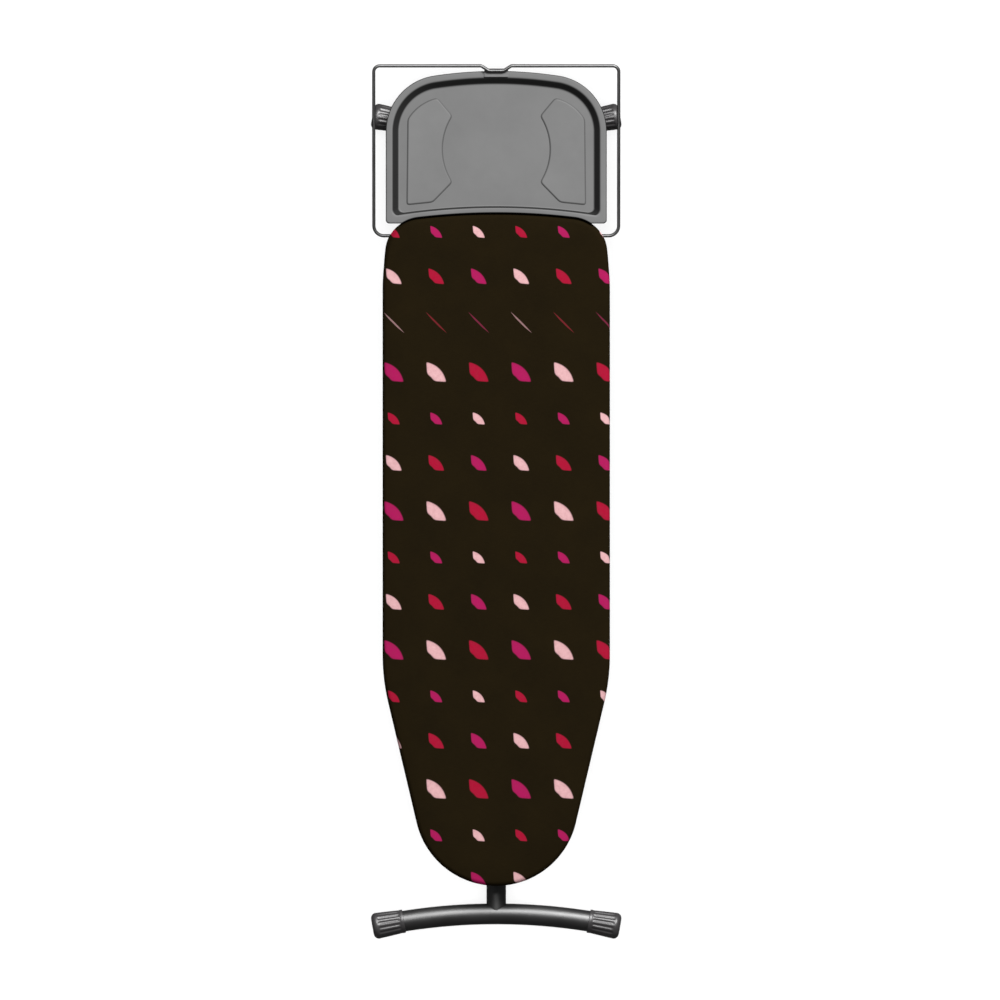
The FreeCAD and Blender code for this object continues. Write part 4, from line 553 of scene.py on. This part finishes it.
def cover_rings():
    """The rings of the cover's edge, with gathers, and each ring's place on the flat cloth."""
    base = board_loop(0)
    away = unit(base - board_loop(1.0))
    tight, folds, broad = gathers()
    profile, travelled = cover_profile()
    rings, cloth = [], []
    at_head = np.interp(base[:, 1], [395, 440], [0.0, 2.4])
    for (inset, height, share), distance in zip(profile, travelled):
        bulge = at_head * np.interp(height, [52, 56, 62, 74, 76.5, 78.5], [0, 0.4, 1, 1, 0.6, 0])
        loop = board_loop(inset) + away * bulge[:, None]
        pucker, lift = tight * folds * share, 0
        if height > HEM_LEVEL + 2.5:
            loop = loop + away * np.minimum(0.35, 0.55 * pucker + 0.25 * broad * share * tight)[:, None]
        else:
            lift = -np.abs(0.75 * pucker) - 0.2 * tight * share * (1 + broad)
        rings.append(at_height(loop, height + lift))
        cloth.append(board_loop(TOP_INSET) + away * distance)
    return np.array(rings), np.array(cloth)


def open_notches(rings):
    """Let the wall of the cover arch over the tray's arms. Returns which points are cut away."""
    cut = np.zeros(rings.shape[:2], bool)
    for column in range(rings.shape[1]):
        x, y = rings[0, column, 0], rings[0, column, 1]
        dx = abs(abs(x) - ARM_X)
        if y < NOTCH_LIMIT or dx >= NOTCH:
            continue
        arch = ARM_Z + math.sqrt(NOTCH ** 2 - dx ** 2)
        below = np.flatnonzero(rings[:, column, 2] < arch)
        first = below[0]
        before, after = rings[first - 1, column], rings[first, column]
        share = (before[2] - arch) / (before[2] - after[2])
        rings[first, column] = before + share * (after - before)
        cut[first + 1:, column] = True
    return cut


def make_cover(surface):
    """The stretched cover, with its places on the flat cloth as UVs. Returns it and the rings of its edge."""
    rings, cloth = cover_rings()
    gone = open_notches(rings).ravel()
    edge_points = len(gone)
    shell = Shell()
    shell.rings(rings)
    shell.faces = [f for f in shell.faces if not any(gone[i] for i in f)]
    shell.cap(0, rings[0, :, :2], COVER_TOP, 9.0, smooth=True)
    points = np.array(shell.points)
    flat = np.vstack([cloth.reshape(-1, 2), points[edge_points:, :2]])
    points[edge_points:, 2] += smooth_hills(points[edge_points:, :2])
    top = np.r_[:2 * len(rings[0]), edge_points:len(points)]
    points[top, 2] += crown(points[top, :2])
    used = sorted({i for f in shell.faces for i in f})
    new = {old: k for k, old in enumerate(used)}
    faces = [tuple(new[i] for i in f) for f in shell.faces]
    cover = mesh_object("cover_cloth", points[used] * MM, faces, "board", surface, weld=False)
    layer = cover.data.uv_layers.new(name="cloth")
    places = flat[used] * MM
    for corner in cover.data.loops:
        layer.data[corner.index].uv = places[corner.vertex_index]
    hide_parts("cover")
    return cover, rings


def smooth_hills(places):
    """A slow rise and fall of the padded top, of about a fifth of a millimetre."""
    x, y = places[:, 0], places[:, 1]
    return 0.1 * (np.sin(x / 31 + 1.3) * np.sin(y / 43 + 0.4) + 0.6 * np.sin(x / 17 - y / 29)
                  + 0.4 * np.sin(y / 19 + x / 61))


SETTLE_FRAMES, MOST_CROWN = 20, 1.6
SETTLING = {"quality": 6, "mass": 0.25, "tension_stiffness": 25, "compression_stiffness": 25,
            "shear_stiffness": 12, "bending_stiffness": 0.4, "use_pressure": True,
            "uniform_pressure_force": 4, "vertex_group_mass": "held"}


def settled_top():
    """The points and faces of a cloth sheet held along the board's edge and pressed up by the foam."""
    loop = board_loop(EDGE_ROUND, FEW)
    shell = Shell()
    shell.points = [tuple(p) for p in at_height(loop, COVER_TOP)]
    shell.cap(0, loop, COVER_TOP, 12.0)
    sheet = placed("settling", new_mesh("settling", np.array(shell.points) * MM, shell.faces))
    sheet.vertex_groups.new(name="held").add(list(range(len(loop))), 1.0, "REPLACE")
    cloth = sheet.modifiers.new("settle", "CLOTH")
    for setting, value in SETTLING.items():
        setattr(cloth.settings, setting, value)
    cloth.settings.effector_weights.gravity = 0
    cloth.collision_settings.use_collision = False
    for number in range(1, SETTLE_FRAMES + 1):
        SCENE.frame_set(number)
    risen = sheet.evaluated_get(bpy.context.evaluated_depsgraph_get()).to_mesh()
    points = [v.co / MM for v in risen.vertices]
    faces = [tuple(f.vertices) for f in risen.polygons]
    bpy.data.objects.remove(sheet)
    SCENE.frame_set(1)
    return points, faces


def crown(places):
    """How far the settled cloth stands above the flat top at each place."""
    tree = BVHTree.FromPolygons(*settled_top())
    hits = [tree.ray_cast(Vector((x, y, 500)), Vector((0, 0, -1)))[0] for x, y in places]
    rise = np.array([hit.z - COVER_TOP if hit else 0.0 for hit in hits])
    return MOST_CROWN * np.tanh(rise / MOST_CROWN)


STITCH_INSET, STITCH_PITCH, STITCH_ENDS, THREAD_RADIUS = 13.5, 4.4, (0.6, 3.6), 0.32


def hem_stitches(rings, surface):
    """A row of stitches along the hem, on the ring under the board that is nearest to their inset."""
    levels = rings[:, :, 2].mean(1)
    off = np.abs(rings[:, 0, 1] - (HEAD_EDGE - STITCH_INSET))
    row = int(np.argmin(off + (levels > HEM_LEVEL + 1.7) * 99))
    path = rings[row]
    s, length = along_loop(path[:, :2])
    shell = Shell()
    for start in np.arange(0, length - STITCH_PITCH, STITCH_PITCH):
        ends = [np.array([np.interp(start + d, s, path[:, axis]) for axis in range(3)]) for d in STITCH_ENDS]
        middle = (ends[0] + ends[1]) / 2
        if abs(abs(middle[0]) - ARM_X) < NOTCH + 2 and middle[1] > NOTCH_LIMIT:
            continue
        stitch(shell, *ends, THREAD_RADIUS)
    return shell.object("hem_stitches", "board", surface)


def stitch(shell, first, last, radius):
    """A short thread that dips into the cloth at both ends."""
    up = np.array((0, 0, 1.0))
    side = unit(np.cross(last - first, up))
    loops = []
    for share, size, drop in ((0.0, 0.25, 0.15), (0.12, 0.9, -0.1), (0.5, 1.0, -0.25), (0.88, 0.9, -0.1),
                              (1.0, 0.25, 0.15)):
        middle = first + (last - first) * share + (0, 0, drop)
        loops.append(circle(middle, radius * size, side, up, 6))
    shell.rings(loops)


def notch_binding(surface):
    """A bound edge round each opening that a tray arm comes out of."""
    shell = Shell()
    front = board_half(0.2)[:MANY[0] + MANY[1]]
    angles = np.radians(np.linspace(0, 180, 25))
    x = ARM_X + (NOTCH + 0.2) * np.cos(angles)
    z = ARM_Z + (NOTCH + 0.2) * np.sin(angles)
    y = np.interp(x, front[:, 0], front[:, 1])
    legs = [np.c_[np.full(5, x[end]), np.full(5, y[end]), np.linspace(HEM_LEVEL + 0.9, ARM_Z, 5)]
            for end in (0, -1)]
    path = np.vstack([legs[0][:-1], np.c_[x, y, z], legs[1][::-1][1:]])
    for sign in (-1, 1):
        tube(shell, path * (sign, 1, 1), 0.9, 8)
    return shell.object("notch_binding", "board", surface)


def tube(shell, path, radius, sides):
    """A closed tube along a path of 3-D points."""
    path = np.asarray(path, float)
    heading = unit(np.gradient(path, axis=0))
    side = np.cross(heading[0], (0.3, 0.5, 0.81))
    loops = []
    for point, ahead in zip(path, heading):
        side = unit(side - ahead * (side @ ahead))
        loops.append(circle(point, radius, side, np.cross(ahead, side), sides))
    starts = shell.rings(loops)
    shell.faces.append(tuple(range(starts[0], starts[0] + sides))[::-1])
    shell.faces.append(tuple(range(starts[-1], starts[-1] + sides)))


# ---- padding and expanded-metal panel ----

PAD_LEVELS = 73.5, 81.3


def make_padding(surface):
    """The felt and foam pad, with soft edges."""
    low, high = PAD_LEVELS
    shell = Shell()
    loops = [(2.6, low), (2.1, low + 0.4), (2.0, low + 1.4)]
    loops += [(2.0 + 6.5 * (1 - math.cos(a)), high - 6.4 + 6.4 * math.sin(a))
              for a in np.radians((0, 25, 50, 70, 90))]
    starts = shell.rings([at_height(board_loop(inset, FEW), z) for inset, z in loops])
    shell.cap(starts[0], board_loop(loops[0][0], FEW), low, 22.0)
    shell.cap(starts[-1], board_loop(loops[-1][0], FEW), high, 22.0)
    pad = shell.object("padding_felt", "board", surface)
    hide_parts("padding")
    return pad


MESH_LOW, MESH_HIGH, MESH_INSET, MESH_RIM = 72.3, 73.1, 6.9, 7.5
STEP_ACROSS, STEP_ALONG, STRAND = 11.0, 5.6, 1.5
MESH_ENDS, MESH_COLUMNS = (-640, 485), 18  # beyond the panel on all sides


def make_mesh_panel(surface):
    """Expanded steel: slanting strands that meet in diamonds, inside a flat rim."""
    edge = board_half(MESH_INSET + 6.0, FEW)[::-1]
    half_width = lambda y: np.interp(y, edge[:, 1], edge[:, 0], left=-1, right=-1)
    shell = Shell()
    for row in range(*(int(end / STEP_ALONG) for end in MESH_ENDS)):
        for column in range(-MESH_COLUMNS, MESH_COLUMNS + 1):
            if (row + column) % 2:
                continue
            start = np.array((column * STEP_ACROSS, row * STEP_ALONG))
            for way in (1, -1):
                end = start + (STEP_ACROSS, way * STEP_ALONG)
                ends = clipped(start, end, half_width)
                if ends is not None:
                    strand(shell, *ends)
    inner = MESH_INSET + MESH_RIM
    rim = [(MESH_INSET, MESH_LOW), (MESH_INSET, MESH_HIGH), (inner, MESH_HIGH), (inner, MESH_LOW),
           (MESH_INSET, MESH_LOW)]
    shell.rings([at_height(board_loop(inset, FEW), z) for inset, z in rim])
    shell.flat = range(len(shell.faces))
    panel = shell.object("expanded_mesh", "board", surface)
    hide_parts("mesh_panel")


def clipped(start, end, half_width):
    """The part of a strand that lies inside the rim, or None."""
    within = [abs(p[0]) < half_width(p[1]) for p in (start, end)]
    if not any(within):
        return None
    if all(within):
        return start, end
    kept, lost = (start, end) if within[0] else (end, start)
    low, high = 0.0, 1.0
    for _ in range(12):
        middle = (low + high) / 2
        point = kept + middle * (lost - kept)
        low, high = (middle, high) if abs(point[0]) < half_width(point[1]) else (low, middle)
    return kept, kept + low * (lost - kept)


def strand(shell, first, last):
    """One strand, twisted a little between its ends as pressed mesh is."""
    ahead = unit(last - first)
    side = np.array((-ahead[1], ahead[0])) * STRAND / 2
    loops = []
    for end in (first, last):
        loops.append([(*(end - side), MESH_LOW), (*(end + side), MESH_LOW + 0.15), (*(end + side), MESH_HIGH),
                      (*(end - side), MESH_HIGH - 0.15)])
    shell.rings(loops)


# ---- iron tray ----

def make_tray(surface):
    """A pan with a rounded flat rim, sloping walls and a flat floor, one wall thick."""
    shell = Shell()
    outer = lambda inset: closed_loop(rim_half(inset))
    mouth = closed_loop(well_half(TRAY_RIM, NEAR_RIM))
    foot = closed_loop(well_half(TRAY_RIM + TRAY_SLOPE, NEAR_RIM + NEAR_SLOPE))
    rim = outer(RIM_ROUND)
    away = unit(foot - closed_loop(well_half(TRAY_RIM + TRAY_SLOPE + 1, NEAR_RIM + NEAR_SLOPE + 1)))
    drop = RIM_TOP - TRAY_FLOOR
    bottom, hem, level = TRAY_FLOOR - TRAY_WALL, RIM_TOP - LIP, RIM_TOP - RIM_ROUND
    edge = [(0, hem + 0.6), (0, level)]
    edge += [(RIM_ROUND * (1 - math.cos(a)), level + RIM_ROUND * math.sin(a))
             for a in np.radians((25, 50, 70, 90))]
    loops = [at_height(outer(inset), z) for inset, z in edge]
    for share in (0.35, 0.6):
        loops.append(at_height(rim + share * (mouth - rim), RIM_TOP))
    for share in np.linspace(-0.22, 1.12, 15):
        way = (share + 0.24) / 1.38
        loops.append(at_height(mouth + share * (foot - mouth), RIM_TOP - way * way * (3 - 2 * way) * drop))
    loops.append(at_height(foot - 2.4 * away, TRAY_FLOOR))
    starts = shell.rings(loops)
    shell.cap(starts[-1], loops[-1][:, :2], TRAY_FLOOR, 11.0)
    under = [at_height(foot - 2.4 * away, bottom), at_height(foot + 0.9 * away, bottom + 0.1)]
    for share in (0.35, 0.75, 1.0):
        under.append(at_height(mouth + (1 - share) * (foot - mouth) + 1.1 * away,
                               TRAY_FLOOR + share * (drop - TRAY_WALL) - TRAY_WALL * (1 - share)))
    under += [at_height(outer(inset), z) for inset, z in (
        (2.5, RIM_TOP - TRAY_WALL), (2.5, hem + 0.3), (2.0, hem), (0.6, hem), (0, hem + 0.6))]
    shell.cap(shell.rings(under)[0], under[0][:, :2], bottom, 22.0)
    tray = shell.object("tray_pan", "board", surface)
    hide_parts("iron_tray")
    return tray


PAD_START, PAD_LENGTH, PAD_WIDTH, PAD_OUTER = 498.0, 181.0, 78.0, 151.0
PAD_RISE, PAD_POINTS = 1.5, 180
PAD_CORNERS = ((0, 0), (0.57, 0.025), (1, 0.215), (1, 0.83), (0.67, 1), (0.02, 0.8))
PAD_ARCS = {2: (101.0, 1), 4: (78.0, -1)}


def pad_outline():
    """The right pad's outline, with its corners eased."""
    corners = [np.array((PAD_OUTER - a * PAD_WIDTH, PAD_START + b * PAD_LENGTH)) for a, b in PAD_CORNERS]
    edges = []
    for number, (first, last) in enumerate(zip(corners, corners[1:] + corners[:1])):
        radius, bulge = PAD_ARCS.get(number, (None, 0))
        edges.append(bowed(first, last, radius, bulge) if radius else np.linspace(first, last, 12))
    points = np.vstack([e[:-1] for e in edges])
    for _ in range(3):
        s, length = along_loop(points)
        at = np.linspace(0, length, PAD_POINTS + 1)[:-1]
        spaced = np.column_stack([np.interp(at, s, column, period=length) for column in points.T])
        points = (np.roll(spaced, 1, 0) + 2 * spaced + np.roll(spaced, -1, 0)) / 4
    return points


def bowed(first, last, radius, bulge):
    """Points on an arc between two corners, bowed to the right of its run, or to the left with bulge -1."""
    chord = last - first
    span = np.linalg.norm(chord)
    normal = np.array((-chord[1], chord[0])) / span * -bulge
    across = (span / 2) * np.linspace(-1, 1, 20)
    depth = np.sqrt(radius ** 2 - across ** 2) - math.sqrt(radius ** 2 - (span / 2) ** 2)
    return (first + last) / 2 + across[:, None] * chord / span + depth[:, None] * normal


def shrunk(loop, inset):
    """A loop moved inwards by an inset, point by point."""
    ahead = unit(np.roll(loop, -1, 0) - np.roll(loop, 1, 0))
    turn = np.sign(signed_area(loop))
    return loop + turn * inset * np.c_[-ahead[:, 1], ahead[:, 0]]


def make_tray_pads(surface):
    """The two raised pads, with sloping edges."""
    pads = []
    for side, sign in (("left", -1), ("right", 1)):
        loop = pad_outline() * (sign, 1)
        if signed_area(loop) > 0:
            loop = loop[::-1]
        shell = Shell()
        top = TRAY_FLOOR + PAD_RISE
        steps = [(0.0, TRAY_FLOOR + 0.05), (0.4, TRAY_FLOOR + 0.3), (2.1, top - 0.3), (2.6, top - 0.08),
                 (3.2, top)]
        loops = [at_height(shrunk(loop, inset), z) for inset, z in steps]
        starts = shell.rings(loops)
        shell.cap(starts[-1], loops[-1][:, :2], top, 9.0)
        pad = shell.object(f"tray_pad_raised_{side}", "board", surface)
        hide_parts(f"tray_pad_{side}")
        pads.append(pad)
    return pads


# ---- feet ----

CAP_LENGTH, CAP_MOUTH, CAP_WIDE, CAP_END = 54.0, 19.4, 22.0, 9.0
CAP_RIBS, RIB_DEPTH, CAP_STEPS = 16, 1.15, 256
FOOT_BOW, FOOT_HALF, FOOT_TUBE, CAP_SOCKET = 994.0, 209.0, 17.5, 36.0
FEET = {"a": -1, "b": 1}  # which way along Y each foot lies


def cap_profile():
    """Distance along the cap, radius and depth of its ribs."""
    rows = [(0, 17.9, 0), (0, 19.2, 0), (0.25, 19.6, 0), (0.8, 19.75, 0), (4.6, 19.75, 0),
            (5.1, 19.6, 0), (5.4, CAP_MOUTH, 0), (6.4, CAP_MOUTH, 0), (7.6, CAP_MOUTH + 0.1, 0.5),
            (9.0, CAP_MOUTH + 0.2, 1.0)]
    straight_end = CAP_LENGTH - CAP_END
    for x in np.linspace(12, straight_end - 6, 8):
        rows.append((x, CAP_MOUTH + (CAP_WIDE - CAP_MOUTH) * (x - 4) / (straight_end - 4), 1.0))
    rows += [(straight_end - 3.6, 21.65, 0.8), (straight_end - 1.8, 21.8, 0.3),
             (straight_end - 0.6, 21.93, 0)]
    for angle in np.radians(np.linspace(0, 90, 9)):
        rows.append((straight_end + CAP_END * math.sin(angle) * 0.985,
                     CAP_WIDE - CAP_END + CAP_END * math.cos(angle), 0))
    rows += [(CAP_LENGTH - 0.1, 10.0, 0), (CAP_LENGTH - 0.35, 7.6, 0), (CAP_LENGTH - 1.2, 7.0, 0),
             (CAP_LENGTH - 1.5, 6.0, 0)]
    return rows


def make_caps(surface):
    """Ribbed plastic caps on the ends of both feet."""
    angles = round_angles(CAP_STEPS)
    wave = np.clip(0.58 + 0.62 * np.cos(CAP_RIBS * angles), 0, 1)
    touch = (FOOT_HALF - CAP_LENGTH + CAP_SOCKET / 2) / FOOT_BOW
    level = math.sqrt(1 - touch ** 2)
    out = FOOT_BOW * touch - CAP_SOCKET / 2 * level
    drop = FOOT_BOW * (1 - level) - CAP_SOCKET / 2 * touch
    for letter, sign in FEET.items():
        low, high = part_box(f"foot_{letter}_tube")
        middle = (low[1] + FOOT_TUBE * MM if sign > 0 else high[1] - FOOT_TUBE * MM) / MM
        for side, across in (("left", -1), ("right", 1)):
            heading = across * sign * math.asin(touch) + (0 if across > 0 else math.pi)
            place = (Matrix.Translation((across * out, middle + sign * drop, CAP_WIDE))
                     @ Matrix.Rotation(heading, 4, "Z"))
            shell = Shell()
            loops = []
            for x, radius, depth in cap_profile():
                size = radius - RIB_DEPTH * depth * (1 - wave)
                loops.append([place @ Vector((x, r * math.cos(a), r * math.sin(a)))
                              for r, a in zip(size, angles)])
            starts = shell.rings(loops)
            end = shell.points[starts[-1]:]
            tip = len(shell.points)
            shell.points.append(tuple(np.mean(end, axis=0)))
            shell.faces += [(starts[-1] + (i + 1) % CAP_STEPS, starts[-1] + i, tip) for i in range(CAP_STEPS)]
            cap = shell.object(f"ribbed_cap_{letter}_{side}", f"leg_{letter}", surface)
            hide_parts(f"foot_{letter}_cap_{side}")


# ---- surfaces of the CAD nodes ----

# Darkest and lightest colour, size of the mottling, range of roughness, size and strength of the grain, rest.
GRAINED = {
    "frame_black": ((32, 31, 31), (40, 39, 39), 0.05, (0.34, 0.42), 0.0018, 0.02,
                    {"Specular_IOR_Level": 1.0}),
    "foot_black": ((24, 23, 23), (31, 30, 30), 0.05, (0.42, 0.48), 0.0018, 0.03,
                   {"Specular_IOR_Level": 1.0}),
    "mesh_steel": ((118, 119, 122), (142, 143, 146), 0.03, (0.35, 0.5), 0.0008, 0.12,
                   {"scuffs": 0.2, "Metallic": 0.55}),
    # The darker slope colours of the tray and its pads are painted shade on their sloping walls and on the
    # pads' edges.
    "tray_grey": ((131, 131, 131), (139, 139, 139), 0.12, (0.42, 0.5), 0.0011, 0.1,
                  {"scuffs": 0.03, "slopes": (46, 46, 46), "Specular_IOR_Level": 0.18}),
    "tray_pad_grey": ((133, 133, 133), (141, 141, 141), 0.1, (0.42, 0.5), 0.0011, 0.1,
                      {"scuffs": 0.03, "slopes": (56, 56, 56), "Specular_IOR_Level": 0.18}),
    "tab_light": ((130, 130, 130), (138, 138, 138), 0.02, (0.4, 0.48), 0.0008, 0.1, {}),
    "cap_plastic": ((64, 62, 63), (76, 74, 75), 0.03, (0.36, 0.44), 0.0007, 0.1,
                    {"scuffs": 0.06, "Specular_IOR_Level": 0.6}),
    "slider_nylon": ((214, 212, 204), (226, 224, 216), 0.02, (0.35, 0.45), 0.0006, 0.08,
                     {"Subsurface_Weight": 0.05}),
    "zinc_steel": ((160, 162, 166), (192, 194, 196), 0.006, (0.22, 0.38), 0.0005, 0.08, {"Metallic": 1.0}),
    "grip_rubber": ((38, 38, 38), (48, 48, 48), 0.01, (0.6, 0.75), 0.0005, 0.3, {"Specular_IOR_Level": 0.3}),
}


def surfaces():
    """The material for each of the record's slots."""
    made = {slot: grained(slot, *settings, **more) for slot, (*settings, more) in GRAINED.items()}
    return made | {"padding_felt": felt(), "cover_cotton": cover_material()}


def felt():
    """Needled felt: pale, mottled, with short fibres."""
    made, nodes = new_material("padding_felt", Specular_IOR_Level=0.15, Sheen_Weight=0.25)
    where = nodes.add("ShaderNodeTexCoord").outputs["Object"]
    clumps = nodes.noise(where, 0.004, 5.0, 0.7, 0.8)
    flecks = nodes.noise(where, 0.0012, 3.0, 0.7)
    colour = nodes.mix(nodes.spread(clumps, 0.3, 0.7), linear(168, 163, 152), linear(205, 200, 190))
    colour = nodes.mix(nodes.spread(flecks, 0.64, 0.72, 0.0, 0.5), colour, linear(96, 102, 122))
    fibres = nodes.bump(clumps, 0.6, 0.0012, nodes.bump(flecks, 0.4, 0.0004))
    nodes.finish(colour, nodes.spread(clumps, 0.3, 0.7, 0.88, 0.98), fibres)
    return made


def thread():
    """Brown sewing thread, mottled by the twist of its plies."""
    made, nodes = new_material("thread", Specular_IOR_Level=0.25, Sheen_Weight=0.2)
    twist = nodes.noise(nodes.add("ShaderNodeTexCoord").outputs["Object"], 0.0006, 2.0, 0.6)
    colour = nodes.mix(nodes.spread(twist, 0.3, 0.7), linear(52, 42, 26), linear(78, 66, 46))
    nodes.finish(colour, nodes.spread(twist, 0.3, 0.7, 0.7, 0.85), nodes.bump(twist, 0.5, 0.0003))
    return made


def both(*stems):
    """The names of pieces that come in a left and a right one."""
    return [f"{stem}_{side}" for stem in stems for side in ("left", "right")]


SLOT_NODES = {
    "foot_black": ["foot_a_tube", "foot_b_tube"],
    "mesh_steel": ["mesh_panel"],
    "padding_felt": ["padding"],
    "cover_cotton": ["cover"],
    "tray_grey": ["iron_tray", "tray_clips"],
    "tray_pad_grey": both("tray_pad"),
    "tab_light": ["rail_rest"],
    "cap_plastic": ["leg_a_bush", "rod_block_nose", "rod_block_middle"] + both(
        "foot_a_cap", "foot_b_cap", "arm_plug", "rail_bracket", "scissor_spacer", "rail_collar"),
    "slider_nylon": both("slider_block"),
    "zinc_steel": ["leg_pivot_bolt", "leg_pivot_nut", "clamp_rod", "scissor_bolt", "scissor_nut", "lever_pin",
                   "clamp_spring", "clamp_plate"] + both("slide_pin"),
    "grip_rubber": ["release_grip"],
}


def paint_cad(finishes):
    """Give every CAD node the material of its slot; the rest are black steel."""
    slot_of = {node: slot for slot, nodes in SLOT_NODES.items() for node in nodes}
    for name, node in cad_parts.items():
        node.data.materials.clear()
        node.data.materials.append(finishes[slot_of.get(name, "frame_black")])


# ---- floor, light and camera ----

FLOOR_HALF = 40  # metres


def make_floor():
    """A wide, nearly white floor that isn't part of the object."""
    made, nodes = new_material("studio_floor", Specular_IOR_Level=0.1)
    cloud = nodes.noise(nodes.add("ShaderNodeTexCoord").outputs["Object"], 0.6, 2.0, 0.5)
    nodes.finish(nodes.mix(cloud, linear(243, 243, 243), linear(246, 246, 246)),
                 nodes.spread(cloud, 0.0, 1.0, 0.85, 0.95))
    corners = [(x * FLOOR_HALF, y * FLOOR_HALF, 0) for x, y in ((-1, -1), (1, -1), (1, 1), (-1, 1))]
    mesh = new_mesh("floor", corners, [(0, 1, 2, 3)])
    mesh.materials.append(made)
    floor = placed("floor", mesh)
    return floor


HEEL_Y = -713.1  # where the front foot's caps touch the floor


def keep_underfoot(floor):
    """Let the floor go down with the front foot, because the board stays where it is when the legs open."""
    heel = placed("heel", None)
    heel.location = (0, HEEL_Y * MM, CAP_WIDE * MM)
    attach(heel, "leg_a")
    floor.location.z = -CAP_WIDE * MM
    follow = floor.constraints.new("COPY_LOCATION")
    follow.target = heel
    follow.use_x = follow.use_y = False
    follow.use_offset = True


LIGHT_TARGET = Vector((0, 0, 0.06))


def make_light(name, kind, place, energy, skipped=(), only=(), diffuse=True, glossy=True, shadows=False,
               **settings):
    """A soft light aimed at the board, for everything but the skipped pieces, or for only some pieces.

    A light for only some pieces throws no shadows, unless it is told to."""
    lamp = bpy.data.lights.new(name, kind)
    for setting, value in settings.items():
        setattr(lamp, setting, value)
    lamp.energy = energy
    made = placed(name, lamp)
    made.location = place
    made.rotation_mode = "QUATERNION"
    made.rotation_quaternion = (LIGHT_TARGET - made.location).to_track_quat("-Z", "Y")
    made.visible_diffuse = diffuse
    made.visible_glossy = glossy
    lit = bpy.data.collections.new(f"lit_by_{name}")
    for piece in only or skipped:
        lit.objects.link(piece)
    for link in lit.collection_objects:
        link.light_linking.link_state = "INCLUDE" if only else "EXCLUDE"
    made.light_linking.receiver_collection = lit
    if only and not shadows:
        made.light_linking.blocker_collection = lit


def add_lights(floor, dull):
    """A tilted key, a weak fill, a softbox for the gloss of the steel, and two lights for the floor alone."""
    make_light("key", "AREA", (3.25, 6.25, 7.5), 1190, [floor], shape="DISK", size=3.4)
    make_light("fill", "AREA", (-2.6, -2.8, 2.6), 20, [floor] + dull[1:], glossy=False, shape="DISK",
               size=2.4)
    make_light("gloss", "AREA", (0.0, 1.95, 3.4), 300, [floor] + dull, diffuse=False,
               shape="RECTANGLE", size=3.4, size_y=3.0)
    make_light("floor_light", "SUN", (0, 0, 5), 2.75, only=[floor], angle=0.5)
    make_light("floor_shade", "SUN", (0, 0, 5), 0.9, only=[floor], shadows=True, angle=1.4)
    floor.visible_glossy = False
    floor.visible_diffuse = False
    world = bpy.data.worlds.new("studio")
    world.use_nodes = True
    background = world.node_tree.nodes["Background"].inputs
    background["Color"].default_value = (1, 1, 1, 1)
    background["Strength"].default_value = 0.085
    SCENE.world = world


# The lens and sensor in millimetres, and the width in metres that the camera sees at its target.
LENS, SENSOR, FRAME_WIDTH = 800, 36, 1.68
CAMERA_TARGET = (0.0063, 0.0029, 0.08)


def add_camera():
    """A camera straight above the board, far enough away that nothing leans outwards."""
    lens = bpy.data.cameras.new("camera")
    lens.lens, lens.sensor_width = LENS, SENSOR
    lens.clip_end = 120
    camera = placed("camera", lens)
    x, y, z = CAMERA_TARGET
    camera.location = (x, y, z + FRAME_WIDTH * LENS / SENSOR)
    SCENE.camera = camera
    SCENE.view_settings.view_transform = "Standard"


def build():
    """Make every visible piece, then the floor, the lights and the camera."""
    finishes = surfaces()
    paint_cad(finishes)
    cover, rings = make_cover(finishes["cover_cotton"])
    stitches = hem_stitches(rings, thread())
    binding = notch_binding(finishes["cover_cotton"])
    pad = make_padding(finishes["padding_felt"])
    make_mesh_panel(finishes["mesh_steel"])
    dull = [cover, make_tray(finishes["tray_grey"]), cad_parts["rail_rest"]]
    dull += make_tray_pads(finishes["tray_pad_grey"])
    make_caps(finishes["cap_plastic"])
    floor = make_floor()
    keep_underfoot(floor)
    add_lights(floor, dull)
    add_camera()


build()
